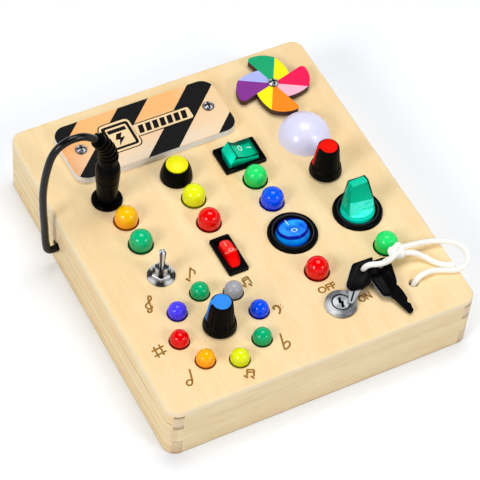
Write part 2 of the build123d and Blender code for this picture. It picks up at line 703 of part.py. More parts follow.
def knob(at):
    """Fluted, tapered knob with a flared skirt, hollow over the nut and gripping the shaft."""
    cap = knob_cap(at)
    flutes = 18
    with BuildPart() as groove:
        with BuildSketch(Plane.XY.offset(board_z + 5.6)):
            with Locations((6.45, 0)):
                Circle(0.45)
        with BuildSketch(Plane.XY.offset(knob_high + 0.2)):
            with Locations((5.1, 0)):
                Circle(0.4)
        loft()
    with BuildPart() as piece:
        with BuildSketch(side_plane(at)):
            with BuildLine():
                Polyline((5.3, knob_low), (7.5, knob_low), (7.5, knob_low + 1.0), (6.9, board_z + 4.6),
                         (6.3, board_z + 5.4), (5.0, board_z + 16.6), (4.6, knob_high), (0, knob_high),
                         (0, board_z + 15.5), (shaft_r + 0.02, board_z + 15.5), (shaft_r + 0.02, board_z + 5.4),
                         (5.3, board_z + 5.4), close=True)
            make_face()
        revolve(axis=upright(at))
        with Locations((*at, 0)):
            with PolarLocations(0, flutes, start_angle=pointer_angle - 180 / flutes):
                add(groove.part, mode=Mode.SUBTRACT)
        add(cap.part, mode=Mode.SUBTRACT)
    return piece, cap


def control(at, body_r, body_h):
    """Round body under the lid with its threaded bushing standing up through it."""
    with BuildPart() as piece:
        with Locations((*at, wall_h - 0.05)):
            Cylinder(body_r, body_h, align=(Align.CENTER, Align.CENTER, Align.MAX))
        with Locations((*at, wall_h - 0.1)):
            Cylinder(bushing_r, bushing_high - wall_h + 0.1, align=(Align.CENTER, Align.CENTER, Align.MIN))
        with Locations((*at, bushing_high)):
            Cylinder(shaft_r + run_gap, bushing_high - wall_h + body_h - 2.0,
                     align=(Align.CENTER, Align.CENTER, Align.MAX), mode=Mode.SUBTRACT)
    return piece


def control_shaft(at, body_h):
    low = wall_h - body_h + 2.3
    with BuildPart() as piece:
        with Locations((*at, low)):
            Cylinder(shaft_r, board_z + 15.3 - low, align=(Align.CENTER, Align.CENTER, Align.MIN))
        chamfer(piece.faces().sort_by(Axis.Z)[-1].edges(), 0.3)
    return piece


pot_r, pot_h = 8.2, 8.0
rotary_r, rotary_h = 11.5, 13.0
red_knob, red_knob_cap = knob(red_knob_at)
blue_knob, blue_knob_cap = knob(ring_at)
write(red_knob, "red_knob")
write(red_knob_cap, "red_knob_cap")
write(control(red_knob_at, pot_r, pot_h), "potentiometer")
write(control_shaft(red_knob_at, pot_h), "potentiometer_shaft")
write(blue_knob, "blue_knob")
write(blue_knob_cap, "blue_knob_cap")
write(control(ring_at, rotary_r, rotary_h), "rotary_switch")
write(control_shaft(ring_at, rotary_h), "rotary_switch_shaft")

# ================================================================ key lock
lock_rim_r, lock_rim_h, lock_plug_r = 7.3, 2.2, 3.8
lock_face_z = board_z + lock_rim_h
cam_z = 10.5
with BuildPart() as lock_body:
    with BuildSketch(side_plane(lock_at)):
        with BuildLine():
            Polyline((lock_rim_r, board_z + 0.9), (lock_rim_r, board_z), (lock_barrel_r, board_z), (lock_barrel_r, 13.0),
                     (lock_plug_r + run_gap, 13.0), (lock_plug_r + run_gap, lock_face_z - 0.9),
                     (4.4, lock_face_z - 0.9), (4.4, lock_face_z), (6.0, lock_face_z))
            ThreePointArc((6.0, lock_face_z), (6.95, lock_face_z - 0.5), (lock_rim_r, board_z + 0.9))
        make_face()
    revolve(axis=upright(lock_at))
write(lock_body, "lock_body")

keyway = ((-0.2, 2.7), (1.1, 2.7), (0.3, 0.6), (1.2, 0.1), (0.2, -2.7), (-1.1, -2.7), (-0.4, -0.5), (-1.2, 0.1))
with BuildPart() as lock_plug:
    with Locations((*lock_at, cam_z + 2.0)):
        Cylinder(lock_plug_r, lock_face_z - 0.2 - cam_z - 2.0, align=(Align.CENTER, Align.CENTER, Align.MIN))
    with Locations((lock_at[0], lock_at[1] + 4.0, cam_z)):
        Box(6.0, 15.0, 2.0, align=(Align.CENTER, Align.CENTER, Align.MIN))
    with BuildSketch(Plane.XY.offset(lock_face_z)):
        with Locations(lock_at):
            with BuildLine():
                Polyline(*keyway, close=True)
            make_face()
    extrude(amount=-12.0, mode=Mode.SUBTRACT)
write(lock_plug, "lock_plug")

# ================================================================ keys and their cord
# Key A rests with its blade on the lock's rim and its bow on key B; key B lies with its tip on the lid.
# Each key has a plane of its own: x along the key from the bow's shoulder, y to its left.
key_a_yaw, key_a_rise = 47.1, 10.3
key_a_foot = (25.4, -60.2, 34.75)
key_b_rise = 5.7
key_b_foot = (40.2, -80.0, 31.3)
key_a_t, key_b_t = 3.0, 2.6


def key_plane(foot, yaw, rise, up=0.0):
    a, r = radians(yaw), radians(rise)
    along = Vector(cos(a) * cos(r), sin(a) * cos(r), sin(r))
    normal = Vector(-cos(a) * sin(r), -sin(a) * sin(r), cos(r))
    return Plane(origin=Vector(*foot) + normal * up, x_dir=along, z_dir=normal)


key_a_bow = ((-2.2, 1.35), (-0.4, 3.8), (10.5, 3.9), (16.6, -3.9), (4.3, -6.1), (0.4, -3.7))
key_b_bow = ((12.1, 4.6), (20.2, 5.5), (26.1, 4.7), (29.6, 1.7), (29.3, -5.3), (25.3, -6.6), (15.9, -4.4),
             (10.3, 0.9))
with BuildPart() as key_bows:
    with BuildSketch(key_plane(key_a_foot, key_a_yaw, key_a_rise)) as bow_a:
        with BuildLine():
            Polyline(*key_a_bow, close=True)
        make_face()
        fillet(bow_a.vertices(), 1.2)
        with Locations((9.4, -1.25)):
            Circle(2.2, mode=Mode.SUBTRACT)
    extrude(amount=key_a_t)
    with BuildSketch(key_plane(key_b_foot, 90.0, key_b_rise)) as bow_b:
        with BuildLine():
            Polyline(*key_b_bow, close=True)
        make_face()
        fillet(bow_b.vertices(), 1.2)
        with Locations((26.5, -1.4)):
            Circle(2.6, mode=Mode.SUBTRACT)
    extrude(amount=key_b_t)
write(key_bows, "key_bows")

key_a_blade = ((0.6, -3.1), (-4.8, -2.0), (-7.6, -1.3), (-7.9, 0.0), (-7.6, 1.0), (-5.0, 1.5), (-2.2, 2.2),
               (-0.4, 2.6), (3.5, 2.2), (3.5, -2.6))
key_b_blade = ((0.0, -2.1), (0.4, -4.2), (4.0, -4.7), (5.4, -3.7), (7.0, -4.8), (11.0, -4.6), (14.1, -4.1),
               (17.0, -2.5), (15.0, 2.4), (13.1, 3.0), (9.0, 0.6), (4.0, -0.8))
with BuildPart() as key_blades:
    with BuildSketch(key_plane(key_a_foot, key_a_yaw, key_a_rise, 0.2)):
        with BuildLine():
            Polyline(*key_a_blade, close=True)
        make_face()
    extrude(amount=1.4)
    with BuildSketch(key_plane(key_b_foot, 90.0, key_b_rise, 0.3)):
        with BuildLine():
            Polyline(*key_b_blade, close=True)
        make_face()
    extrude(amount=1.5)
    add(key_bows.part, mode=Mode.SUBTRACT)
write(key_blades, "key_blades")

knot_at, knot_r = (51.5, -51.1, 37.2), 2.9
strand_route = [(52.7, -65.7, 27.2), (53.1, -65.7, 32.4), (58.0, -64.8, 34.1), (63.5, -64.2, 32.5),
                (68.3, -66.1, 32.35), (73.2, -68.5, 32.4), (78.1, -67.8, 32.4), (81.6, -64.7, 32.4),
                (82.7, -60.3, 32.4), (81.3, -55.9, 32.5), (77.6, -52.8, 32.8), (72.0, -50.9, 33.7),
                (65.6, -50.1, 34.9), (58.6, -50.2, 36.6), (53.5, -50.5, 38.0)]
keys_route = [(50.1, -52.7, 38.7), (46.8, -54.0, 40.0), (40.4, -55.6, 42.5), (32.9, -54.3, 42.8),
              (32.8, -53.5, 32.4), (40.6, -53.2, 32.4), (42.8, -54.0, 39.0), (49.5, -49.9, 37.7)]
tail_route = [(53.5, -52.7, 36.3), (58.5, -53.2, 35.6), (63.0, -56.4, 33.4), (66.1, -60.6, 32.4),
              (69.35, -63.5, 32.4), (74.0, -65.4, 32.45)]
strand_tube = tube(strand_route, cord_d, "key_cord strand")
keys_tube = tube(keys_route, cord_d, "key_cord through the keys")
tail_tube = tube(tail_route, cord_d, "key_cord tail")
with BuildPart() as key_cord:
    add(strand_tube.part)
    add(keys_tube.part)
    add(tail_tube.part)
write(key_cord, "key_cord")

with BuildPart() as key_cord_knot:
    with Locations(knot_at):
        Sphere(knot_r)
    with Locations((*cord_hole_at, wall_h - 3.25)):
        Sphere(3.2)
    add(key_cord.part, mode=Mode.SUBTRACT)
write(key_cord_knot, "key_cord_knot")

# ================================================================ lamps, caps and circuit board
lamp_low = 25.5
pcb_z, pcb_t = 22.0, 1.6


def lamp(lift=0.0):
    """Round lamp with its collar and two legs."""
    with BuildPart() as piece:
        with BuildSketch(side_plane((0, 0))):
            with BuildLine():
                Polyline((0, lamp_low), (2.9, lamp_low), (2.9, lamp_low + 0.9), (lamp_r, lamp_low + 0.9),
                         (lamp_r, lamp_low + 5.0))
                crown(lamp_r, lamp_low + 5.0, lamp_low + 5.0 + lamp_r)
                Line((0, lamp_low + 5.0 + lamp_r), (0, lamp_low))
            make_face()
        revolve(axis=Axis.Z)
        with Locations((-1.27, 0, lamp_low), (1.27, 0, lamp_low)):
            Box(0.5, 0.5, lamp_low - pcb_z - pcb_t, align=(Align.CENTER, Align.CENTER, Align.MAX))
    return piece


def cap(dome_r, dome_z, flange_r):
    """Glossy lamp cap: flange under the lid, barrel through its hole, dome above, bore for the lamp."""
    low, spring = wall_h - 1.6, board_z + dome_z
    bore_r, bore_z = lamp_r + run_gap, lamp_low + 5.1
    with BuildPart() as piece:
        with BuildSketch(side_plane((0, 0))):
            with BuildLine():
                Polyline((lamp_r + run_gap, low), (flange_r, low), (flange_r, wall_h - 0.05), (dome_r, wall_h - 0.05),
                         (dome_r, spring))
                crown(dome_r, spring, spring + dome_r)
                Line((0, spring + dome_r), (0, bore_z + bore_r))
                crown(bore_r, bore_z, bore_z + bore_r)
                Line((bore_r, bore_z), (bore_r, low))
            make_face()
        revolve(axis=Axis.Z)
    return piece


big_cap = cap(big_dome_r, big_dome_z, big_flange_r)
small_cap = cap(small_dome_r, small_dome_z, small_flange_r)
for colour in big_spots:
    with BuildPart() as colour_caps:
        if big_spots[colour]:
            with Locations(*[(x, y, 0) for x, y in big_spots[colour]]):
                add(big_cap.part)
        with Locations(*[(x, y, 0) for x, y in ring_spots[colour]]):
            add(small_cap.part)
    write(colour_caps, f"{colour}_caps")

lamp_proto = lamp()
dome_lamp_lift = 1.45
with BuildPart() as led_lamps:
    with Locations(*[(x, y, 0) for x, y in all_big + all_small], (*dome_at, dome_lamp_lift)):
        add(lamp_proto.part)
write(led_lamps, "led_lamps")

with BuildPart() as circuit_board:
    with BuildSketch(Plane.XY.offset(pcb_z)):
        with Locations(ring_at):
            Circle(25.0)
            Circle(rotary_r + 1.5, mode=Mode.SUBTRACT)
    extrude(amount=pcb_t)
write(circuit_board, "circuit_board")

# ================================================================ battery bay
box_size, box_top, box_wall = (66.0, 35.6), 21.0, 1.4
lead_in_at = (-47.55, 10.9)
cell_r, cell_len = 7.1, 49.0
cell_y = 7.7
cell_z = 10.0
cell_x0 = bay_at[0] - 28.0

with BuildPart() as battery_box:
    with BuildSketch(Plane.XY.offset(bottom_t)):
        with Locations(bay_at):
            Rectangle(*box_size)
    extrude(amount=box_top - bottom_t)
    with BuildSketch(Plane.XY.offset(bottom_t)):
        with Locations(bay_at):
            Rectangle(box_size[0] - 2 * box_wall, box_size[1] - 2 * box_wall)
    extrude(amount=box_top - bottom_t - box_wall, mode=Mode.SUBTRACT)
    with Locations((*door_screw_at, box_top - box_wall)):
        Cylinder(2.6, 12.0, align=(Align.CENTER, Align.CENTER, Align.MAX))
    with Locations((*door_screw_at, box_top - box_wall - 12.0)):
        Cylinder(bottom_screw_r + run_gap, 8.0, align=(Align.CENTER, Align.CENTER, Align.MIN), mode=Mode.SUBTRACT)
    with Locations(Location((lead_in_at[0], bay_at[1] - box_size[1] / 2, lead_in_at[1]), (90, 0, 0))):
        Cylinder(lead_d / 2 + 0.6, 4 * box_wall, mode=Mode.SUBTRACT)
write(battery_box, "battery_box")

with BuildPart() as batteries:
    for side in (-1, 1):
        with Locations(Location((cell_x0, bay_at[1] + side * cell_y, cell_z), (0, 90, 0))):
            Cylinder(cell_r, cell_len, align=(Align.CENTER, Align.CENTER, Align.MIN))
            Cylinder(2.7, cell_len + 1.2, align=(Align.CENTER, Align.CENTER, Align.MIN))
write(batteries, "batteries")

with BuildPart() as battery_door:
    with Locations((bay_at[0], bay_at[1], door_out)):
        Box(*door_size, door_t, align=(Align.CENTER, Align.CENTER, Align.MIN))
    with Locations((*door_screw_at, door_out)):
        Cylinder(bottom_screw_r + 0.2, 3 * door_t, mode=Mode.SUBTRACT)
        Cone(2.4, 1.4, 1.4, align=(Align.CENTER, Align.CENTER, Align.MIN), mode=Mode.SUBTRACT)
write(battery_door, "battery_door")

# Brass blades under the switches and the battery contacts.
blade_w, blade_t, blade_len = 4.8, 0.8, 6.5
blade_tops = [(green_at, 5.0, 0), (blue_at, 0, 4.5), (paddle_at, 0, 4.5), (red_at, 0, 5.0)]
with BuildPart() as switch_terminals:
    for at, dx, dy in blade_tops:
        with Locations((at[0] - dx, at[1] - dy, board_z - body_depth), (at[0] + dx, at[1] + dy, board_z - body_depth)):
            Box(blade_w, blade_t, blade_len, align=(Align.CENTER, Align.CENTER, Align.MAX))
    with Locations(*[(toggle_at[0], toggle_at[1] + dy, toggle_body_bottom) for dy in (-4.5, 0, 4.5)]):
        Box(1.5, 0.8, 4.5, align=(Align.CENTER, Align.CENTER, Align.MAX))
    for x in (cell_x0 - 1.0, cell_x0 + cell_len + 2.2):
        with Locations(*[(x, bay_at[1] + side * cell_y, cell_z) for side in (-1, 1)]):
            Box(0.6, 9.0, 9.0)
write(switch_terminals, "switch_terminals")
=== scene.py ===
# %% [markdown]
# # A wooden busy board
#
# The toy is a flat pine box whose lid carries lamps, switches, knobs, a lock and a spinner.
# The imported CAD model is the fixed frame. Each of its parts gets a real finish here, and the
# soft or finely shaped parts are modelled again over it.

import json
import math

import bpy
from mathutils import Matrix, Vector


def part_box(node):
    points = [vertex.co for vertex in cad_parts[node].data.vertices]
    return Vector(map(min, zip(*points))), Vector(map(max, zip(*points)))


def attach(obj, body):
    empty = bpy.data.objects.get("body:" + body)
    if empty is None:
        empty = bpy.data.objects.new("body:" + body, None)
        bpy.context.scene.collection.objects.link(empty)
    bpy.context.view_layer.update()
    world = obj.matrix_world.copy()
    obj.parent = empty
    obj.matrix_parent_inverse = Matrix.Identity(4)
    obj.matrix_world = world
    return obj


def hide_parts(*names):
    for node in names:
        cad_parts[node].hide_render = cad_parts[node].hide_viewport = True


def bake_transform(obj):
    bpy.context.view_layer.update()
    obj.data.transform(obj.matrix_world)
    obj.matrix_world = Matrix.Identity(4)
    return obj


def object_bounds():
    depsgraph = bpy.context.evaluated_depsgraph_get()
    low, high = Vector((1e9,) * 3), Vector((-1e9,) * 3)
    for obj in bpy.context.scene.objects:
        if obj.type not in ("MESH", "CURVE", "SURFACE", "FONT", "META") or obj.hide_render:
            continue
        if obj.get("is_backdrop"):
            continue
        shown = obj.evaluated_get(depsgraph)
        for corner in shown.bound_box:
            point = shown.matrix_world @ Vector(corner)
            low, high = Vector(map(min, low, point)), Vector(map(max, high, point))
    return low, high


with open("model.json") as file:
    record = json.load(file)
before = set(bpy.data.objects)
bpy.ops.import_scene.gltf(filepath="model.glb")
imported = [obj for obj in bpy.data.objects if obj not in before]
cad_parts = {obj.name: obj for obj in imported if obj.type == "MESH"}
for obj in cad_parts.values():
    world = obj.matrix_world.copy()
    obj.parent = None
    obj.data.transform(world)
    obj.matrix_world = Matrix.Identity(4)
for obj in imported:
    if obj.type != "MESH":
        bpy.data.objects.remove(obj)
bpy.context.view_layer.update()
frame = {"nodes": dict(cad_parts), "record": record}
nodes = frame["nodes"]
parts = frame["record"]["subparts"]
slots_of = {part["node"]: part["material_slot"] for part in parts if "material_slot" in part}
MM = 0.001

# %% [markdown]
# Everything on the lid is laid out round a few places, in mm from the middle of the board. The
# finishes and the new pieces both measure from them, so each place is written down once. The
# rockers rest tipped over, and the angles say by how much.

# %% Places on the lid
LID_TOP, PLATE_TOP = 31.0, 35.0
SPINNER_AT, PLATE_AT, PLATE_SCREW_APART = (48.7, 60.3), (-17.75, 59.7), 32.2
TOGGLE_AT, LOCK_AT = (-46.5, -16.4), (17.6, -62.9)
RED_KNOB_AT, BLUE_KNOB_AT = (47.5, 6.4), (-35.5, -51.0)
GREEN_AT, GREEN_TIP = (15.6, 29.8), 12.0
RED_AT, RED_LEAN = (-14.7, -19.0), -12.0
BLUE_AT, BLUE_LEAN = (16.9, -19.5), 14.0
PADDLE_AT, PADDLE_LEAN = (49.6, -20.2), 11.0
print("lid and plate are", LID_TOP, "and", PLATE_TOP, "mm high")

# %% [markdown]
# ## The camera
#
# A product is usually shown through a long lens from a few steps away, so that parallel edges stay
# nearly parallel. The camera's own axes are written out here, because three directions and a
# place say exactly how it stands.

# %% Stand the camera
LENS_MM = 166.2187
camera_data = bpy.data.cameras.new("long_lens")
camera_data.lens = LENS_MM
camera_data.sensor_width = 36.0
camera = bpy.data.objects.new("camera", camera_data)
bpy.context.scene.collection.objects.link(camera)
camera_right = Vector((0.8876187, -0.4558451, 0.0658656))
camera_up = Vector((0.3246344, 0.7206424, 0.6126068))
camera_back = Vector((-0.3267194, -0.5223790, 0.7876386))
turn = Matrix((camera_right, camera_up, camera_back)).transposed()
place = Matrix.Translation(Vector((-326.5627, -525.4129, 803.5199)) * MM)
camera.matrix_world = place @ turn.to_4x4()
bpy.context.scene.camera = camera
print("camera is", round(camera.matrix_world.translation.length, 3), "m from the middle of the box")

# %% [markdown]
# ## The cords
#
# A cord is one smooth curve through a few given points. A NURBS spline of order three gives that
# curve. The line is read back as closely spaced points, and a tube is swept along them, so that the
# same line also says how long the cord is.


# %% One smooth line through a few points
def curve_of(name, lines, **settings):
    """A curve. Each line is a kind of spline and its points (x, y, z, radius factor) in mm."""
    curve = bpy.data.curves.new(name, "CURVE")
    for setting, value in settings.items():
        setattr(curve, setting, value)
    for kind, points in lines:
        spline = curve.splines.new(kind)
        spline.points.add(len(points) - 1)
        for point, (*at, radius) in zip(spline.points, points):
            point.co = (*(Vector(at) * MM), 1.0)
            point.radius = radius
        if kind == "NURBS":
            spline.order_u = 3
            spline.use_endpoint_u = True
    made = bpy.data.objects.new(name, curve)
    bpy.context.scene.collection.objects.link(made)
    return made


def smooth_line(points_mm):
    """The points of a NURBS curve through given points in mm, as vectors in metres."""
    through = [(*point, 1.0) for point in points_mm]
    holder = curve_of("line", [("NURBS", through)], dimensions="3D", resolution_u=12)
    bpy.context.view_layer.update()
    mesh = bpy.data.meshes.new_from_object(holder)
    line = [vertex.co.copy() for vertex in mesh.vertices]
    bpy.data.curves.remove(holder.data)
    bpy.data.meshes.remove(mesh)
    return line


def length_of(line):
    """The length of a line of points."""
    return sum((b - a).length for a, b in zip(line, line[1:]))


def evenly(line, step):
    """The same line with its points a fixed step apart."""
    count = max(2, round(length_of(line) / step))
    wanted = [length_of(line) * i / count for i in range(count + 1)]
    found, walked, i = [], 0.0, 0
    for distance in wanted:
        while i < len(line) - 2 and walked + (line[i + 1] - line[i]).length < distance:
            walked += (line[i + 1] - line[i]).length
            i += 1
        span = (line[i + 1] - line[i]).length
        found.append(line[i].lerp(line[i + 1], min(1.0, (distance - walked) / span)))
    return found


LEAD_ROUTE = [
    (-55.50, 31.7, 74.47), (-59.59, 31.7, 79.19), (-65.76, 31.7, 81.24), (-72.09, 31.7, 79.79),
    (-76.77, 31.7, 75.29), (-79.51, 31.7, 65.15), (-81.25, 31.7, 52.77), (-81.2, 31.6, 39.5),
    (-80.6, 31.5, 27.5), (-80.4, 31.2, 17.0), (-79.6, 30.6, 9.6), (-71.3, 31.4, 10.3),
    (-63.5, 31.9, 10.7), (-56.12, 31.6, 10.9), (-50.69, 34.73, 10.9), (-47.55, 40.16, 10.9),
    (-47.55, 46.2, 10.9),
]
lead_line = smooth_line(LEAD_ROUTE)
print("power lead", round(length_of(lead_line) / MM, 1), "mm long in", len(lead_line), "points")

# %% [markdown]
# A round tube is a ring of points carried along the line. The ring is turned as little as
# possible from one point to the next, so that the tube doesn't twist. Its radius may follow a
# pattern, which is how the plaits of a woven cord become real bumps.


# %% Sweep a tube along a line
def frames_along(line):
    """A direction and two side directions at each point of a line, with no twist."""
    ahead = [(b - a).normalized() for a, b in zip(line, line[1:])]
    ahead.append(ahead[-1])
    side = ahead[0].orthogonal().normalized()
    frames = []
    for direction in ahead:
        side = (side - direction * side.dot(direction)).normalized()
        frames.append((direction, side, direction.cross(side)))
    return frames


END_LENGTH, END_WIDTH = 0.6, 0.4


def tube(name, line, radius, sides=20, shape=None):
    """A closed tube along a line. shape(along, round) is added to the radius, and each end is
    rounded off: END_LENGTH is how far that reaches, and END_WIDTH what is left, as shares of it."""
    vertices, faces, total = [], [], length_of(line)
    walked = 0.0
    for number, (point, axes) in enumerate(zip(line, frames_along(line))):
        walked += (point - line[number - 1]).length if number else 0.0
        from_end = min(walked, total - walked) / (radius * END_LENGTH)
        drawn = math.sqrt(max(0.0, 1 - (1 - min(1.0, from_end)) ** 2))
        drawn = drawn * (1 - END_WIDTH) + END_WIDTH
        for i in range(sides):
            angle = math.tau * i / sides
            reach = radius * drawn + (shape(walked, angle) if shape else 0.0)
            across = axes[1] * math.cos(angle) + axes[2] * math.sin(angle)
            vertices.append(point + across * reach)
    for ring in range(len(line) - 1):
        for i in range(sides):
            a, b = ring * sides + i, ring * sides + (i + 1) % sides
            faces.append((a, b, b + sides, a + sides))
    last = (len(line) - 1) * sides
    faces += [tuple(reversed(range(sides))), tuple(range(last, last + sides))]
    mesh = bpy.data.meshes.new(name)
    mesh.from_pydata([tuple(v) for v in vertices], [], faces)
    mesh.update()
    made = bpy.data.objects.new(name, mesh)
    bpy.context.scene.collection.objects.link(made)
    for polygon in mesh.polygons:
        polygon.use_smooth = len(polygon.vertices) == 4
    return made


LEAD_DIAMETER = 3.5 * MM
inside_out = list(reversed(evenly(lead_line, 0.9 * MM)))
power_lead = tube("power_lead_sheath", inside_out, LEAD_DIAMETER / 2)
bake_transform(power_lead)
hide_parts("power_lead")
length_of(inside_out)
print("sheath has", len(power_lead.data.polygons), "faces")

# %% [markdown]
# ### The white key cord
#
# The keys hang on a white cord of woven polyester. Its yarns wind round it both ways, and where
# they cross they make small rounded diamonds. Two sets of winding waves multiplied together
# give that surface. The cord comes up through the hole in the lid and ends in a knot. A second
# length runs from the knot through both keys, back through the knot, and ends as a short tail.

# %% Weave the key cord
STRAND_ROUTE = [
    (52.7, -65.7, 27.2), (53.1, -65.7, 32.4), (58.0, -64.8, 34.1), (63.5, -64.2, 32.5),
    (68.3, -66.1, 32.35), (73.2, -68.5, 32.4), (78.1, -67.8, 32.4), (81.6, -64.7, 32.4),
    (82.7, -60.3, 32.4), (81.3, -55.9, 32.5), (77.6, -52.8, 32.8), (72.0, -50.9, 33.7),
    (65.6, -50.1, 34.9), (58.6, -50.2, 36.6), (53.5, -50.5, 38.0),
]
KEYS_ROUTE = [
    (50.1, -52.7, 38.2), (46.0, -55.2, 38.6), (40.0, -57.4, 41.8), (32.5, -54.8, 41.9),
    (32.6, -54.3, 32.4), (41.4, -52.6, 32.4), (43.0, -54.6, 38.2), (47.8, -53.4, 37.0),
    (50.3, -51.4, 36.3),
]
TAIL_ROUTE = [
    (53.5, -52.7, 36.3), (58.5, -53.2, 35.6), (63.0, -56.4, 33.4), (66.1, -60.6, 32.4),
    (69.35, -63.5, 32.4), (74.0, -65.4, 32.45),
]
CORD_DIAMETER, PLAIT, YARN_HEIGHT, WEAVE_STEP = 2.5 * MM, 1.9 * MM, 0.055 * MM, 0.24 * MM


def woven(along, angle):
    """How far the yarns stand out of the cord, in metres."""
    one = math.sin(4 * angle + math.tau * along / PLAIT)
    other = math.sin(4 * angle - math.tau * along / PLAIT)
    return YARN_HEIGHT * (one * other + 0.25 * (one + other))


strand_line = evenly(smooth_line(STRAND_ROUTE), WEAVE_STEP)
strand = tube("key_cord_strand", strand_line, CORD_DIAMETER / 2, 32, woven)
loop_line = evenly(smooth_line(KEYS_ROUTE) + smooth_line(TAIL_ROUTE), WEAVE_STEP)
loop = tube("key_cord_loop", loop_line, CORD_DIAMETER / 2, 32, woven)
for name, line in (("strand", strand_line), ("loop", loop_line)):
    print(name, "is", round(length_of(line) / MM, 1), "mm long")

# %% [markdown]
# Each knot is a plain overhand knot, pulled tight. Its centre line is a trefoil, the curve that
# such a knot makes in any rope. One is seen on the lid, and one under the lid stops the cord.


# %% Tie the knots
def trefoil(centre, size, tilt, steps=150):
    """A closed overhand knot's line round a centre."""
    points = []
    for i in range(steps):
        t = math.tau * i / steps
        across = math.sin(t) + 2 * math.sin(2 * t)
        along = math.cos(t) - 2 * math.cos(2 * t)
        points.append(centre + tilt @ (Vector((across, along, -1.15 * math.sin(3 * t))) * size))
    return points + points[:2]


KNOT_AT, STOP_KNOT_AT = Vector((51.5, -51.1, 37.2)) * MM, Vector((52.7, -65.7, 24.75)) * MM
knot_turn = Matrix.Rotation(math.radians(40), 3, "X") @ Matrix.Rotation(math.radians(25), 3, "Z")
knot_line = evenly(trefoil(KNOT_AT, 0.92 * MM, knot_turn), WEAVE_STEP)
knot = tube("key_cord_tied_knot", knot_line, 1.4 * MM, 28, woven)
stop_line = evenly(trefoil(STOP_KNOT_AT, 0.70 * MM, Matrix.Identity(3)), 0.3 * MM)
stop_knot = tube("key_cord_stop_knot", stop_line, 1.12 * MM, 20, woven)
for piece in (strand, loop, knot, stop_knot):
    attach(piece, "board")
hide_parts("key_cord")
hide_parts("key_cord_knot")
length_of(strand_line)
print("knot is", round(knot.dimensions.x / MM, 1), "mm across")

# %% [markdown]
# ## Shader sums as plain expressions
#
# A material is a small graph of nodes. Written node by node it is long and hard to read, so one
# class wraps an output socket and turns +, -, * and / into Math nodes.


# %% The wire
class Wire:
    """An output socket that can be used in sums."""

    def __init__(self, graph, socket):
        self.graph, self.socket = graph, socket

    def math(self, operation, *others):
        return self.graph.node("ShaderNodeMath", {"operation": operation}, [self, *others])

    def __add__(self, other):
        return self.math("ADD", other)

    def __sub__(self, other):
        return self.math("SUBTRACT", other)

    def __mul__(self, other):
        return self.math("MULTIPLY", other)

    def __truediv__(self, other):
        return self.math("DIVIDE", other)

    def __rsub__(self, other):
        return self.graph.node("ShaderNodeMath", {"operation": "SUBTRACT"}, [other, self])

    def __neg__(self):
        return self * -1.0

    def __lt__(self, other):
        return self.math("LESS_THAN", other)

    def __gt__(self, other):
        return self.math("GREATER_THAN", other)

    def __abs__(self):
        return self.math("ABSOLUTE")

    __radd__ = __add__
    __rmul__ = __mul__

    def clamped(self):
        """The same number, kept between 0 and 1."""
        return self.graph.node("ShaderNodeClamp", None, [self])

    def past(self, start, width):
        """0 below start, 1 above start + width, and a slope between."""
        return ((self - start) / width).clamped()


print("sums in shaders are Math nodes now")

# %% [markdown]
# Every other kind of node comes from one method of the graph, which takes the node's type, its
# settings and what goes into its sockets. So a finish reads as a list of what it does. Colours
# are written as a screen shows them and changed to a shader's numbers on the way in.


# %% The graph
def linear(value):
    """A colour as the linear numbers that shaders take. It is given as a screen shows it, by three
    numbers from 0 to 255. Any other value is passed on as it is."""
    if not isinstance(value, tuple) or len(value) != 3:
        return value
    shares = [level / 255 for level in value]
    return (*(s / 12.92 if s <= 0.04045 else ((s + 0.055) / 1.055) ** 2.4 for s in shares), 1.0)


class Graph:
    """A tree of shader nodes, and the one method that adds its nodes."""

    def __init__(self, tree):
        self.tree = tree

    def node(self, kind, settings=None, inputs=None, out=0):
        """Adds a node, makes its settings, then fills or links its sockets."""
        made = self.tree.nodes.new(kind)
        for name, value in (settings or {}).items():
            if name == "stops":
                ramp = made.color_ramp.elements
                while len(ramp) < len(value):
                    ramp.new(1.0)
                for stop, (at, colour) in zip(ramp, value):
                    stop.position, stop.color = at, colour
            else:
                setattr(made, name, value)
        filled = inputs.items() if isinstance(inputs, dict) else enumerate(inputs or [])
        for key, value in filled:
            if isinstance(value, Wire):
                self.tree.links.new(value.socket, made.inputs[key])
            else:
                made.inputs[key].default_value = value
        return Wire(self, made.outputs[out])

    def link(self, wire, node, socket):
        """Links a wire to a socket of a node that the tree has from the start."""
        self.tree.links.new(wire.socket, self.tree.nodes[node].inputs[socket])

    def split(self, vector):
        """The three numbers of a vector."""
        return [self.node("ShaderNodeSeparateXYZ", None, [vector], out=i) for i in range(3)]

    def ramp(self, factor, *stops):
        """Colours along a number from 0 to 1."""
        stops = [(at, linear(colour)) for at, colour in stops]
        return self.node("ShaderNodeValToRGB", {"stops": stops}, [factor])

    def shown_to_rays(self, lighting, seen):
        """One shader for the rays that carry light, and another for those that show a background:
        from the camera, in a mirror or through glass."""
        camera, mirror, glass = [
            self.node("ShaderNodeLightPath", out=f"Is {kind} Ray")
            for kind in ("Camera", "Glossy", "Transmission")
        ]
        either = camera.math("MAXIMUM", mirror).math("MAXIMUM", glass)
        return self.node("ShaderNodeMixShader", None, [either, lighting, seen])


print("a mid grey is", round(linear((128, 128, 128))[0], 3), "in a shader")

# %% [markdown]
# A finish is the material of one kind of surface. Its patterns are laid out on the object's own
# coordinates, so they move with the piece. They change the colour, the roughness and a fine
# relief, and everything else about the surface is a plain number.

# %% The finish
finishes = {}


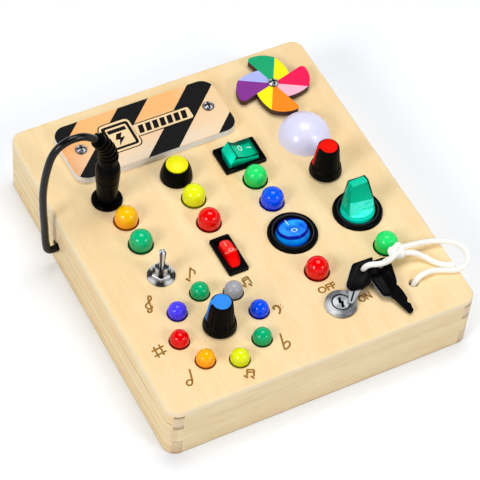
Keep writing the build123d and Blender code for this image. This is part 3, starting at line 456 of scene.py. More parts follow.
class Finish(Graph):
    """The material of one finish, kept under its name."""

    def __init__(self, name, **constants):
        finishes[name] = bpy.data.materials.new(name)
        finishes[name].use_nodes = True
        super().__init__(finishes[name].node_tree)
        self.shader = self.tree.nodes["Principled BSDF"]
        for socket, value in constants.items():
            self.shader.inputs[socket.replace("_", " ")].default_value = linear(value)
        self.place = self.node("ShaderNodeTexCoord", out="Object")

    def axes(self):
        """The three numbers of a place, in mm."""
        return [number * (1 / MM) for number in self.split(self.place)]

    def facing(self):
        """The three numbers of the direction that a surface looks in."""
        return self.split(self.node("ShaderNodeTexCoord", out="Normal"))

    def from_axis(self, at):
        """Right, back and the distance from an upright axis, in mm."""
        x, y, _ = self.axes()
        x, y = x - at[0], y - at[1]
        return x, y, (x * x + y * y).math("SQRT")

    def mix(self, factor, a, b):
        """Colour a where the factor is 0, and b where it is 1."""
        inputs = {0: factor, 6: linear(a), 7: linear(b)}
        return self.node("ShaderNodeMix", {"data_type": "RGBA"}, inputs, out=2)

    def noise(self, size_mm, detail=2.0, rough=0.5, offset=(0, 0, 0)):
        """Clouds whose spots have that size along x, y and z."""
        sizes = size_mm if isinstance(size_mm, tuple) else (size_mm,) * 3
        scale = tuple(1 / (s * MM) for s in sizes)
        scaled = self.node(
            "ShaderNodeMapping", None, {"Vector": self.place, "Location": offset, "Scale": scale}
        )
        return self.node("ShaderNodeTexNoise", None, {
            "Vector": scaled, "Scale": 1.0, "Detail": detail, "Roughness": rough})

    def paint(self, colour, rough=None, glow=0.0):
        """Gives the surface its colour, its roughness and a painted glow of the same colour, though
        the part is no lamp.
        """
        self.link(colour, "Principled BSDF", "Base Color")
        if rough:
            self.link(rough, "Principled BSDF", "Roughness")
        if glow:
            self.link(colour, "Principled BSDF", "Emission Color")
            self.shader.inputs["Emission Strength"].default_value = glow

    def bump(self, height, depth_mm, strength):
        """Raises the surface by a height from 0 to 1 times that depth."""
        inputs = {"Strength": strength, "Distance": depth_mm * MM, "Height": height}
        raised = self.node("ShaderNodeBump", None, inputs)
        self.link(raised, "Principled BSDF", "Normal")


def near(colour, by):
    """The same colour, lighter or darker by a factor."""
    return tuple(min(1.0, c * by) for c in linear(colour)[:3]) + (1.0,)


print("half as bright as white is", round(near((255, 255, 255), 0.5)[0], 3))

# %% [markdown]
# ## The studio
#
# The board stands on a pale sweep in soft light from all round, with one broad lamp above it and
# two smaller ones in front. They give the glossy caps one wide and two small highlights. What
# the camera sees behind the board is white by its own colour, so that no light has to be added.
# High above, the room is dark, as a studio's ceiling is, and the glossy caps mirror that.

# %% Floor and sky
bpy.ops.object.select_all(action="DESELECT")
bpy.ops.mesh.primitive_plane_add(size=8.0, location=(0, 0, -0.02 * MM))
floor = bpy.context.object
floor.name = "floor"
PALE = (0.83, 0.855, 0.90, 1)
matt = Finish("pale_floor", Base_Color=PALE, Roughness=0.9, Specular_IOR_Level=0.0)
plain = Wire(matt, matt.shader.outputs[0])
glow = matt.node("ShaderNodeEmission", None, {"Strength": 0.19})
lifted = matt.node("ShaderNodeAddShader", None, [plain, glow])
matt.link(matt.shown_to_rays(plain, lifted), "Material Output", "Surface")
floor.data.materials.append(finishes["pale_floor"])
floor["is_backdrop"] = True

world = bpy.data.worlds.new("soft_sky")
bpy.context.scene.world = world
world.use_nodes = True
sky = Graph(world.node_tree)
soft = sky.tree.nodes["Background"]
soft.inputs["Color"].default_value = (0.95, 0.98, 1.0, 1)
soft.inputs["Strength"].default_value = 0.16
upward = sky.split(sky.node("ShaderNodeTexCoord", out="Generated"))[2]
room = sky.ramp(upward, (0.35, (1, 1, 1, 1)), (0.60, (0.09, 0.09, 0.09, 1)))
white = sky.node("ShaderNodeBackground", None, {"Color": room})
sky.link(sky.shown_to_rays(Wire(sky, soft.outputs[0]), white), "World Output", "Surface")
bpy.context.scene.view_settings.view_transform = "Standard"
print("view transform", bpy.context.scene.view_settings.view_transform)

# %% [markdown]
# A lamp is an oblong sheet of light that looks at the board. Its long side lies across the
# camera's view, so that its highlight lies level on each cap.


# %% Lamps
def lamp(name, at, width, height, watts):
    """An oblong studio lamp that faces the board, with its long side across the camera's view."""
    data = bpy.data.lights.new(name, "AREA")
    data.shape = "RECTANGLE"
    data.size, data.size_y = width, height
    data.energy = watts
    made = bpy.data.objects.new(name, data)
    bpy.context.scene.collection.objects.link(made)
    away = Vector(at).normalized()
    across = (camera_right - away * camera_right.dot(away)).normalized()
    looking = Matrix((across, away.cross(across), away)).transposed()
    made.matrix_world = Matrix.Translation(Vector(at)) @ looking.to_4x4()
    return made


lamp("top_lamp", (0.156, 0.256, 1.282), 0.74, 0.56, 8.9)
lamp("left_lamp", (-1.164, -0.344, 0.882), 0.50, 0.50, 9.0)
lamp("front_lamp", (0.621, -1.055, 0.869), 0.46, 0.46, 6.2)
print("lamps", [light.name for light in bpy.data.lights])

# %% [markdown]
# ## Pine
#
# The board is pale, even-grained wood with a clear matt varnish. Long grain is noise that is
# stretched along the plank: slow bands of light and dark, and over them fine fibres. The lid's
# rounded upper edges get a painted highlight that makes them a little paler.


# %% A plank of pine
def plank(name, along, light, dark, contrast):
    """A wood finish with its grain along one axis, its colour and its fibres."""
    wood = Finish(name, Roughness=0.5, Specular_IOR_Level=0.3)

    def grain(length, width, *settings):
        """Noise whose spots are that long along the plank, and that wide across it."""
        return wood.noise(tuple(length if i == along else width for i in range(3)), *settings)

    fibres = grain(30.0, 0.6, 3.0, 0.6)
    amount = (grain(120.0, 11.0, 3.0, 0.55, (3.1, 1.7, 0.4)) - 0.5) * 1.6 + (fibres - 0.5) * 0.9
    amount = amount + (grain(16.0, 7.0, 3.0, 0.6) - 0.5) * 1.1 + (grain(4.0, 0.8) - 0.5) * 0.5
    shade = (amount * contrast + 0.5).clamped()
    return wood, wood.mix(shade, light, dark), fibres


wood, colour, fibres = plank("lid_pine", 1, (255, 230, 182), (248, 211, 152), 0.9)
# Painted highlight: the lid's rounded upper edges are made paler.
edge_highlight = ((LID_TOP + 0.05 - wood.axes()[2]) * 1.1).clamped()
wood.paint(wood.mix(edge_highlight * 0.9, colour, (255, 236, 198)))
wood.bump(fibres, 0.03, 0.4)
wood, colour, fibres = plank("plywood", 0, (236, 210, 168), (214, 180, 130), 1.3)
wood.paint(colour)
wood.bump(fibres, 0.03, 0.6)
print("flat boards done", sorted(finishes))

# %% [markdown]
# ### The walls
#
# The walls have a few darker year lines along them. On a cut end the fibres are seen end on, so
# the stretch is gone, the colour is duller and browner, and the varnish has soaked in darkest at
# the rims of the fingers. Those rims are stops of a ramp over the height.

# %% Box walls with cut finger ends
FINGER_STOPS = [
    (0.0, (186, 140, 98)), (0.06, (226, 196, 156)), (0.30, (236, 210, 170)),
    (0.325, (212, 178, 132)), (0.34, (158, 116, 72)), (0.36, (222, 192, 154)),
    (0.52, (236, 208, 170)), (0.65, (228, 198, 156)), (0.67, (158, 114, 70)),
    (0.70, (204, 172, 132)), (0.78, (240, 214, 180)), (0.93, (238, 212, 176)),
    (0.975, (176, 134, 88)),
]
WALL_HIGH, CORNER_AT = 28.0, 70.5


def wall_finish(name, along, light, dark, cut_ends, year_lines):
    """Long grain with a few dark lines at (height, half width, depth), and cut ends that show by
    that share of their duller colour."""
    wood, colour, fibres = plank(name, along, light, dark, 1.1)
    x, y, z = wood.axes()
    drift = wood.noise(tuple(70.0 if i == along else 5.0 for i in range(3)), 2.0)
    for height, half, depth in year_lines:
        line = (1 - abs(z + (drift - 0.5) * 5.0 - height) / half).clamped()
        colour = wood.mix(line * depth, colour, (184, 138, 78))
    rings = ((wood.noise((1.2, 1.2, 0.7), 3.0, 0.6) - 0.5) * 1.2).clamped()
    ends = wood.mix(rings, wood.ramp(z / WALL_HIGH, *FINGER_STOPS), (206, 172, 136))
    ends = wood.mix(cut_ends, colour, ends)
    corner = (abs(x) - CORNER_AT).clamped() * (1.0 - cut_ends)
    colour = wood.mix(corner * 0.4, colour, (214, 180, 146))
    # Painted contact shade: each wall is darker in its lowest millimetre, where it stands on the
    # floor.
    colour = wood.mix((1.0 - z).clamped() * 0.6, colour, (150, 118, 78))
    wood.paint(wood.mix(abs(wood.facing()[along]) > 0.75, colour, ends))
    wood.bump(fibres, 0.03, 0.5)


wall_finish(
    "front_pine", 0, (255, 234, 190), (244, 214, 162), 0.15,
    [(19.5, 0.5, 0.16), (13.0, 0.6, 0.12), (6.5, 0.5, 0.12)],
)
wall_finish(
    "side_pine", 1, (255, 234, 186), (250, 213, 154), 1.0,
    [(9.6, 0.45, 0.9), (21.5, 0.45, 0.6), (15.5, 0.5, 0.35), (4.0, 0.4, 0.45)],
)
print("wood finishes", sorted(finishes))

# %% [markdown]
# ## Plastics
#
# Moulded plastic is never quite even: its gloss and colour wander a little, and the mould leaves
# a faint grain. The housings are black with a soft sheen, and the lead is a little shinier.


# %% Moulded plastic
def moulded(name, colour, rough, grain=0.0, **constants):
    """A plastic of that colour with a slightly uneven gloss."""
    plastic = Finish(name, Coat_Roughness=0.04, **constants)
    cloud = plastic.noise(4.0)
    colour = plastic.mix(cloud, near(colour, 0.94), near(colour, 1.05))
    plastic.paint(colour, (cloud - 0.5) * (rough * 0.5) + rough)
    plastic.bump(plastic.noise(0.35), 0.02 if grain else 0.004, 0.3 + grain)


MILK, YARN = (225, 222, 255), (255, 252, 244)
DULL = {"Specular_IOR_Level": 0.12, "IOR": 1.25}
# The milky dome and the white cord get a painted glow, though neither is lit.
moulded(
    "milky_lens", (222, 220, 246), 0.22,
    Specular_IOR_Level=0.5, Emission_Color=MILK, Emission_Strength=0.13,
)
moulded("white_cord", YARN, 0.75, Emission_Color=YARN, Emission_Strength=0.07)
moulded("yellow_plastic", (255, 246, 0), 0.4, Specular_IOR_Level=0.25)
moulded("black_plastic", (6, 6, 7), 0.3, 0.3, **DULL)
moulded("soft_black", (5, 5, 6), 0.3, 0.3, **DULL)
moulded("lead_black", (4, 4, 5), 0.2, Specular_IOR_Level=0.5, IOR=1.36)
moulded("clear_lens", (235, 240, 240), 0.1, Coat_Weight=0.5)
moulded("nylon", (235, 235, 228), 0.4)
moulded("fibreglass", (40, 110, 60), 0.4)
moulded("battery_shell", (60, 120, 190), 0.3)
moulded("mark_white", (225, 250, 245), 0.5)
moulded("mark_rose", (255, 190, 176), 0.5)
# The dark threads along the clear rockers' edges are painted shade.
moulded("green_edge_shade", (0, 52, 40), 0.3, Specular_IOR_Level=0.2, IOR=1.25)
print("with plastics", len(finishes))

# %% [markdown]
# The two round frames have a fine step where the bezel turns down into the mouth. The light that it
# catches is painted as one thin grey ring, a painted highlight.

# %% Round frames
STEP_REACH, STEP_HALF = 9.25, 0.35
bezel = Finish("round_frame_black", Roughness=0.3, **DULL)
blue_reach, paddle_reach = [bezel.from_axis(at)[2] for at in (BLUE_AT, PADDLE_AT)]
beside = abs(blue_reach.math("MINIMUM", paddle_reach) - STEP_REACH)
cloud = bezel.noise(4.0)
black = bezel.mix(cloud, (5, 5, 6), (8, 8, 9))
# Painted highlight: a thin grey ring where the step catches the light.
colour = bezel.mix((1 - beside / STEP_HALF).clamped(), black, (66, 66, 70))
bezel.paint(colour, cloud * 0.12 + 0.26)
bezel.bump(bezel.noise(0.35), 0.02, 0.6)
print("round frames at", BLUE_AT, PADDLE_AT)

# %% [markdown]
# A knob is black with a coloured disc let into its top, and a coloured pointer runs down its
# side. The disc has a narrow black rim, and the pointer is a sector of the flank.

# %% Knobs
POINTER_TURN = math.radians(154.0)
POINTER_HALF, POINTER_FROM, POINTER_FOOT, DISC_REACH = 1.35, 3.8, 36.6, 4.05


def knob_finish(name, at, black, colour):
    """Black all over but for the disc on top and the pointer down the side."""
    knob = Finish(name, Roughness=0.4, Specular_IOR_Level=0.15, IOR=1.25)
    x, y, reach = knob.from_axis(at)
    ahead = x * math.cos(POINTER_TURN) + y * math.sin(POINTER_TURN)
    beside = abs(y * math.cos(POINTER_TURN) - x * math.sin(POINTER_TURN))
    pointer = (beside < POINTER_HALF) * (ahead > POINTER_FROM) * (knob.axes()[2] > POINTER_FOOT)
    shown = (reach < DISC_REACH).math("MAXIMUM", pointer)
    cloud = knob.noise(4.0)
    coloured = knob.mix(cloud, near(colour, 0.9), near(colour, 1.08))
    knob.paint(knob.mix(shown, black, coloured), cloud * 0.1 + 0.33)
    knob.bump(knob.noise(0.35), 0.01, 0.3)


knob_finish("red_knob_paint", RED_KNOB_AT, (6, 6, 7), (250, 22, 10))
knob_finish("blue_knob_paint", BLUE_KNOB_AT, (6, 6, 7), (56, 146, 246))
print("knob pointers at", round(math.degrees(POINTER_TURN)), "degrees")

# %% [markdown]
# ## Metals
#
# Stamped metal carries fine scratches. Turned metal has rings round its axis instead, and the room
# that they mirror is painted into its colour as bright and dark wedges, a painted reflection. On a
# sloping face the painted wedges follow the way it looks, so that direction is added to the place.
# A screw's cross slot is painted black as shade, because no light gets out of it, and the rim of
# its head is painted darker as shade.


# %% Stamped and turned metal
def metal(name, colour, rough, shine=1.0):
    """A stamped metal with fine scratches."""
    bright = Finish(name, Metallic=shine)
    scratch = bright.noise((0.3, 0.3, 1.5), 3.0, 0.7)
    colour = bright.mix(bright.noise(3.0), near(colour, 0.9), colour)
    bright.paint(colour, scratch * 0.14 + (rough - 0.07))
    bright.bump(scratch, 0.006, 0.4)


def spun(name, at, light, dark, wedges, turn, shine=0.35, twin=0.0, cross=0.0):
    """Turned metal round an axis at that place, with a painted reflection of that many bright
    wedges. twin is how far two equal parts stand to the left and right of the place. cross is half
    the width of a cross slot that is painted black as shade."""
    part = Finish(name, Metallic=shine)
    x, y, _ = part.axes()
    x, y = x - at[0], y - at[1]
    if twin:
        x = abs(x) - twin
    east, north, _ = part.facing()
    angle = (y * 0.1 + north * 4.0).math("ARCTAN2", x * 0.1 + east * 4.0)
    rings = part.noise(0.25)
    # Painted reflection: bright and dark wedges round the axis.
    painted_reflection = (angle * wedges + turn).math("SINE") * 0.8 + 0.4
    colour = part.mix((painted_reflection + (rings - 0.5) * 0.25).clamped(), dark, light)
    if cross:
        # The cross slot is painted black as shade, and the rim of the head is painted darker as
        # shade.
        reach = (x * x + y * y).math("SQRT")
        slot = (abs(x).math("MINIMUM", abs(y)) < cross) * (reach < 2.0)
        colour = part.mix(slot, colour, (12, 12, 14))
        colour = part.mix(reach.past(2.1, 0.25) * 0.8, colour, (40, 38, 38))
    part.paint(colour, rings * 0.12 + 0.28)
    part.bump(rings, 0.006, 0.4)


metal("steel", (222, 222, 224), 0.24)
metal("nickel", (216, 214, 212), 0.20)
metal("worn_steel", (150, 152, 156), 0.5, 0.6)
metal("zinc", (186, 190, 194), 0.35)
metal("brass", (218, 180, 98), 0.3)
metal("black_nickel", (12, 12, 14), 0.5)
spun("toggle_metal", TOGGLE_AT, (206, 206, 208), (24, 23, 22), 4, 0.6)
spun("lever_metal", TOGGLE_AT, (244, 244, 246), (64, 62, 62), 4, 2.2)
spun("lock_rim", LOCK_AT, (208, 209, 212), (104, 106, 110), 2, 1.2, 0.25)
spun("lock_face", LOCK_AT, (220, 220, 224), (160, 162, 166), 2, 2.6, 0.2)
BRIGHT, SHADED = (244, 244, 246), (120, 120, 124)
spun("plate_screw_metal", PLATE_AT, BRIGHT, SHADED, 4, 0.3, 0.3, PLATE_SCREW_APART, 0.42)
spun("hub_screw_metal", SPINNER_AT, BRIGHT, SHADED, 4, 0.3, 0.3, cross=0.4)
print("with metals", len(finishes))

# %% [markdown]
# ## Lamp caps
#
# The caps are glossy coloured plastic that lets some light through. They get a painted glow, so
# they look a little brighter from within than paint would, though they are not lit. Their colour
# grows lighter towards the top, partly their own colour and partly painted light from above, and
# just above the lid each cap is painted dark, as painted shade where it stands in its hole.


# %% Coloured lenses
def lens(name, high, low, foot, top=38.5, brighter=None, brighter_from=0.0):
    """A glossy cap: low colour at the lid, high colour at its top, partly painted light from above,
    and foot colour as painted shade in its hole. brighter are the two colours of the caps that
    stand further right than brighter_from."""
    cap = Finish(name, Roughness=0.07, Specular_IOR_Level=0.5, IOR=1.37)
    x, _, z = cap.axes()
    rise = z.past(LID_TOP, top - LID_TOP)
    colour = cap.mix(rise, low, high)
    if brighter:
        other = cap.mix(rise, *brighter)
        colour = cap.mix(x > brighter_from, colour, other)
    # Painted shade in the hole just above the lid.
    hole_shade = ((LID_TOP + 0.95 - z) * 2.2).clamped()
    colour = cap.mix(cap.noise(3.0) * 0.12, colour, near(low, 0.8))
    cap.paint(cap.mix(hole_shade * 0.85, colour, foot), glow=0.10)
    cap.bump(cap.noise(2.5, 1.0), 0.003, 0.08)


lens("orange_lens", (255, 196, 0), (250, 142, 0), (120, 56, 0))
lens(
    "leaf_lens", (0, 192, 124), (0, 136, 74), (0, 52, 24),
    brighter=((0, 180, 50), (40, 236, 116)), brighter_from=10.0,
)
lens("lime_lens", (240, 250, 20), (208, 218, 0), (92, 92, 0))
lens("scarlet_lens", (240, 0, 0), (212, 0, 0), (92, 0, 0))
lens("sky_lens", (0, 92, 252), (0, 40, 236), (0, 10, 96))
lens("grey_lens", (170, 170, 176), (136, 136, 142), (62, 60, 62), 37.0)
lens("indigo_lens", (80, 68, 255), (56, 34, 232), (20, 10, 90), 37.0)
print("with lenses", len(finishes))

# %% [markdown]
# ## Clear rockers
#
# A clear rocker is painted with light and shade: lighter where it is thin or lit, darker where its
# walls stand behind each other or lie in shade, and with a painted glow. So its painted shade
# follows its own turned axes: how far a place is across, back and up from the pivot, and which way
# its face looks.


# %% A rocker's own axes
def turned(finish, at, tip, lean):
    """Across, back and up from a pivot at the lid that is tipped about Y and leant about X: first
    the three numbers of a place, then those of the direction that its face looks in."""
    x, y, z = finish.axes()
    t, b = math.radians(tip), math.radians(lean)
    both = []
    for right, back, up in ((x - at[0], y - at[1], z - LID_TOP), finish.facing()):
        across = right * math.cos(t) - up * math.sin(t)
        up = right * math.sin(t) + up * math.cos(t)
        tilted = (back * math.cos(b) - up * math.sin(b), back * math.sin(b) + up * math.cos(b))
        both.append((across, *tilted))
    return both


def clear_plastic(name, at, tip, lean, rough=0.12, ior=1.25):
    """A clear coloured plastic, and its turned axes u, v, w and nu, nv, nw."""
    clear = Finish(name, Roughness=rough, Specular_IOR_Level=0.3, IOR=ior)
    clear.bump(clear.noise(0.5), 0.003, 0.3)
    return clear, *turned(clear, at, tip, lean)


print("the rockers rest at", GREEN_TIP, RED_LEAN, BLUE_LEAN, PADDLE_LEAN, "degrees")

# %% [markdown]
# The green rocker tips sideways. Its raised left end is painted bright as painted light, and its
# top has a painted dark rim of shade at the back and at the right. The round blue rocker has a
# painted bright dish in a painted dark rim of shade. Both carry a painted glow.

# %% Green and blue rockers
clear, (u, v, w), (nu, _, nw) = clear_plastic("green_rocker_clear", GREEN_AT, GREEN_TIP, 0.0)
# Painted light and shade on the green rocker: the top fades across, with dark rims of shade at the
# back and right, the sides are lit upwards and shaded near the top, and the left end is lit
# brightest.
top = clear.mix(u.past(-5.0, 9.0), (0, 204, 156), (0, 170, 124))
top = clear.mix(v.past(1.9, 1.4) * 0.92, top, (0, 66, 52))
top = clear.mix(u.past(4.1, 1.0) * 0.85, top, (0, 84, 64))
side = clear.mix(w.past(1.5, 3.0), (0, 150, 112), (0, 240, 184))
side = clear.mix(w.past(4.3, 0.4), side, (0, 110, 80))
left = clear.mix(v.past(-3.5, 5.0), (0, 246, 204), (0, 206, 166))
streaks = clear.noise((2.0, 0.5, 6.0)).past(0.55, 0.1)
left = clear.mix(streaks * 0.3, left, (0, 150, 116))
clear.paint(clear.mix(nu < -0.7, clear.mix(nw > 0.75, side, top), left), glow=0.16)

clear, (u, v, w), (_, _, nw) = clear_plastic("blue_rocker_clear", BLUE_AT, 0.0, BLUE_LEAN)
# Painted light and shade on the blue rocker: a lit dish, lighter to the front, in a dark rim of
# shade, and sides lit upwards with a dark band of shade at the top.
reach = (u * u * 0.85 + (v + 1.2) * (v + 1.2)).math("SQRT")
cloud = clear.noise((4.0, 7.0, 4.0), 1.0)
lit_dish = clear.mix(cloud.past(0.35, 0.3), (0, 96, 226), (48, 168, 255))
lit_dish = clear.mix((-v).past(1.5, 4.0) * 0.5, lit_dish, (0, 120, 250))
top = clear.mix(reach.past(6.0, 0.5), lit_dish, (0, 26, 136))
side = clear.mix(w.past(-1.2, 2.2), (0, 88, 232), (10, 152, 255))
streaks = clear.noise((1.6, 1.6, 9.0)).past(0.52, 0.1)
side = clear.mix(streaks * 0.35, side, (0, 84, 224))
side = clear.mix(w.past(2.0, 0.4), side, (0, 20, 152))
clear.paint(clear.mix(nw > 0.85, side, top), glow=0.16)
print("green and blue rockers at", GREEN_AT, BLUE_AT)

# %% [markdown]
# The small red rocker leans forwards. Its back half is painted pale as painted light and its front
# half deep red, with a fine painted highlight where they meet, a painted dark rim of shade all
# round and painted darker flanks.

# %% Red rocker
clear, (u, v, _), (_, nv, nw) = clear_plastic("red_rocker_clear", RED_AT, 0.0, RED_LEAN, 0.15)
# Painted light and shade on the red rocker: a pale lit back half, a deep red front half, a painted
# dark rim of shade, a painted highlight line at the fold, and darker flanks.
high = clear.mix(v.past(0.0, 6.0), (248, 34, 28), (250, 62, 56))
low = clear.mix(v.past(-7.0, 5.0), (248, 20, 14), (236, 0, 0))
sides = (abs(u) + (-v).past(0.0, 6.0) * 0.5).past(2.0, 0.5)
rim_shade = sides.math("MAXIMUM", abs(v).past(6.2, 0.5))
top = clear.mix(rim_shade * 0.7, clear.mix(nv > 0.0, low, high), (176, 0, 0))
top = clear.mix((-abs(v + 0.2)).past(-0.5, 0.3) * 0.5, top, (255, 128, 112))
clear.paint(clear.mix(nw.past(0.6, 0.15), (196, 2, 2), top), glow=0.12)
print("red rocker at", RED_AT)

# %% [markdown]
# The paddle is a tall blade on a round skirt. Its front carries fine upright ribs, painted as a
# wave of light and shade across it. Below a slanting line the blade is smooth and painted bright as
# painted light, its flanks are painted deeper as shade, and a painted dark line of shade marks the
# skirt's fold.

# %% Paddle
RIB_STEP = 0.86
clear, (u, v, w), (nu, _, nw) = clear_plastic("paddle_clear", PADDLE_AT, 0.0, PADDLE_LEAN, 0.2, 1.2)
# Painted light and shade on the paddle: the ribs as a wave of painted shade, a painted highlight at
# the top, a bright lit foot, shaded flanks, lit upward faces, and a painted dark line of shade at
# the skirt's fold.
front = clear.mix(w.past(8.0, 9.0), (0, 206, 162), (0, 176, 136))
rib_shade = (u * (math.tau / RIB_STEP)).math("SINE") * 0.5 + 0.5
front = clear.mix(rib_shade * 0.5, front, (0, 128, 98))
front = clear.mix(w.past(16.8, 0.6), front, (30, 210, 170))
cloud = clear.noise((2.6, 2.6, 1.2), 1.0).past(0.42, 0.25)
foot = clear.mix(cloud, (84, 246, 226), (36, 230, 204))
front = clear.mix((w + u * 0.16).past(8.2, 0.25), foot, front)
cloud = clear.noise((3.0, 1.6, 9.0), 1.0).past(0.42, 0.25)
flank_shade = clear.mix(cloud, (0, 156, 118), (0, 182, 142))
flank_shade = clear.mix(w.past(3.0, 4.0), (0, 206, 170), flank_shade)
blade_colour = clear.mix(nu < -0.35, front, flank_shade)
blade_colour = clear.mix(nw > 0.7, blade_colour, (20, 200, 160))
skirt_colour = clear.mix(w.past(-0.6, 2.0), (0, 196, 164), (8, 238, 208))
skirt_colour = clear.mix(w.past(2.3, 0.2), skirt_colour, foot)
fold_shade = (-abs(w - 2.05)).past(-0.3, 0.2)
skirt_colour = clear.mix(fold_shade * 0.7, skirt_colour, (0, 150, 120))
clear.paint(clear.mix(w.past(2.75, 0.1), skirt_colour, blade_colour), glow=0.16)
print("paddle ribs every", RIB_STEP, "mm")

# %% [markdown]
# ## Painted wood
#
# The spinner is sawn from board by a laser: its top is printed in eight flat colours, and its
# sides are burnt dark brown. Two axes turned with the blades split the top into the colours.

# %% Eight colours round the hub
SPINNER_TURN, SPINNER_TOP = math.radians(15), 34.97
paint = Finish("painted_wood", Specular_IOR_Level=0.3)
dx, dy, _ = paint.from_axis(SPINNER_AT)
u = dx * math.cos(SPINNER_TURN) + dy * math.sin(SPINNER_TURN)
v = dy * math.cos(SPINNER_TURN) - dx * math.sin(SPINNER_TURN)
steep = abs(v) > abs(u)
first, second, third, fourth = [paint.mix(steep, flat, upright) for flat, upright in (
    ((255, 0, 84), (255, 190, 212)), ((255, 248, 0), (0, 172, 112)),
    ((138, 44, 150), (180, 190, 255)), ((255, 248, 0), (255, 142, 0)),
)]
above = paint.mix(u > 0, third, second)
below = paint.mix(u > 0, fourth, first)
burnt = paint.mix(paint.noise((0.5, 0.5, 3.0)), (82, 50, 42), (50, 28, 24))
colour = paint.mix(paint.axes()[2] > SPINNER_TOP, burnt, paint.mix(v > 0, below, above))
paint.paint(colour, paint.noise(0.6) * 0.15 + 0.45)
paint.bump(paint.noise(0.6), 0.02, 0.3)
print("spinner turned by", round(math.degrees(SPINNER_TURN)), "degrees")

# %% [markdown]
# ## The printed plate
#
# The plate is a flat board with a printed top: black slanted stripes on a ground that fades from
# orange to bare wood. Its sides are left white. The signs' inks and the lid's burnt lines are
# rougher, because they soak in.

# %% Stripes on the plate
PLATE_BACK, PLATE_LEFT, STRIPE_SLOPE, STRIPE_STEP, STRIPE_WIDTH = 75.9, -59.6, 1.09, 35.6, 15.5
plate = Finish("printed_plate", Specular_IOR_Level=0.2, IOR=1.4)
x, y, z = plate.axes()
across = x - (y - PLATE_BACK) * STRIPE_SLOPE - PLATE_LEFT + STRIPE_STEP * 4
stripe = across.math("MODULO", STRIPE_STEP) < STRIPE_WIDTH
ground = plate.mix(y.past(47.0, 20.0), (252, 230, 202), (255, 188, 114))
ground = plate.mix((-x).past(42.0, 20.0) * 0.8, ground, (250, 152, 68))
ground = plate.mix(x.past(2.0, 12.5) * 0.75, ground, (252, 222, 180))
ground = plate.mix(plate.noise((60.0, 5.0, 5.0), 3.0) * 0.3, ground, (255, 214, 164))
printed = plate.mix(stripe, ground, (10, 10, 12))
edge = plate.mix(plate.noise((8.0, 8.0, 0.5)), (255, 255, 255), (238, 238, 244))
plate.paint(plate.mix(z > PLATE_TOP - 0.4, edge, printed), plate.noise(2.0) * 0.1 + 0.42)
for name, light, dark in (
    ("print_cream", (255, 226, 180), (250, 216, 166)),
    ("print_ink", (28, 22, 20), (18, 15, 14)),
    ("burnt_line", (176, 128, 52), (142, 98, 30)),
):
    ink = Finish(name, Roughness=0.8, Specular_IOR_Level=0.1)
    ink.paint(ink.mix(ink.noise(0.7, 3.0), light, dark))
    ink.bump(ink.noise(0.3), 0.01, 0.4)
print("plate stripes every", STRIPE_STEP, "mm; finishes", len(finishes))

# %% [markdown]
# ## From a curve to a finished piece
#
# Every new piece goes through the steps that a hand would do with the mouse. It is selected
# alone, made a mesh, cleaned, shaded, and its place is put into the mesh, so that its object
# stays at the origin. At last it gets its finish and the body that carries it.


# %% The steps of a piece
def choose(*objects):
    """Leaves object mode with only these objects selected, the last one active."""
    bpy.ops.object.select_all(action="DESELECT")
    for one in objects:
        one.select_set(True)
    bpy.context.view_layer.objects.active = objects[-1]


def settle(obj, matrix=None):
    """Puts an object's place into its mesh."""
    if matrix is not None:
        obj.matrix_world = matrix
    choose(obj)
    bpy.ops.object.transform_apply(location=True, rotation=True, scale=True)
    return obj


def made_mesh(obj):
    """Makes a curve or a text a mesh."""
    choose(obj)
    bpy.ops.object.convert(target="MESH")
    return bpy.context.object


def clean(obj):
    """Merges a mesh's doubles and turns its faces outwards."""
    choose(obj)
    bpy.ops.object.mode_set(mode="EDIT")
    bpy.ops.mesh.select_all(action="SELECT")
    bpy.ops.mesh.remove_doubles(threshold=1e-6)
    bpy.ops.mesh.normals_make_consistent(inside=False)
    bpy.ops.object.mode_set(mode="OBJECT")
    return obj


def smooth(obj, degrees):
    """Shades a piece smooth but for its edges that are sharper than that."""
    choose(obj)
    bpy.ops.object.shade_smooth_by_angle(angle=math.radians(degrees))
    return obj


def finish_piece(obj, finish, body, slot, *replaced):
    """Gives a piece its finish and the body it rides on, and hides the CAD nodes it stands for.
    slot is not used.
    """
    obj.data.materials.clear()
    obj.data.materials.append(finishes[finish])
    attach(obj, body)
    if replaced:
        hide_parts(*replaced)
    return obj


# %% [markdown]
# Keys and printed layers are flat shapes. A filled curve makes one from its outline: the curve's
# extrude gives the thickness, and its bevel rounds the edges. An outline is a list of corners,
# which can be rounded off, or an oval.


# %% Cut a flat shape
def cut_out(name, outlines, thickness, place, bevel=0.0):
    """A flat shape of that thickness on the plane of place, with rounded edges. Sizes in mm."""
    lines = [("POLY", [(x, y, 0, 1.0) for x, y in outline]) for outline in outlines]
    made = curve_of(
        name, lines, dimensions="2D", fill_mode="BOTH", extrude=(thickness / 2 - bevel) * MM,
        bevel_depth=bevel * MM, offset=-bevel * MM, bevel_resolution=1,
    )
    for spline in made.data.splines:
        spline.use_cyclic_u = True
    return settle(clean(made_mesh(made)), place @ Matrix.Translation((0, 0, thickness / 2 * MM)))


def rounded(points, radius, steps=5):
    """The outline with each of its corners rounded."""
    found = []
    for i, corner in enumerate(points):
        here = Vector(corner)
        back, on = Vector(points[i - 1]) - here, Vector(points[(i + 1) % len(points)]) - here
        reach = min(radius, back.length * 0.45, on.length * 0.45)
        start, end = here + back.normalized() * reach, here + on.normalized() * reach
        for k in range(steps + 1):
            t = k / steps
            found.append(tuple(start * (1 - t) ** 2 + here * (2 * t * (1 - t)) + end * t ** 2))
    return found


def oblong(left, right, low, high):
    """The four corners of an upright rectangle."""
    return [(left, low), (right, low), (right, high), (left, high)]


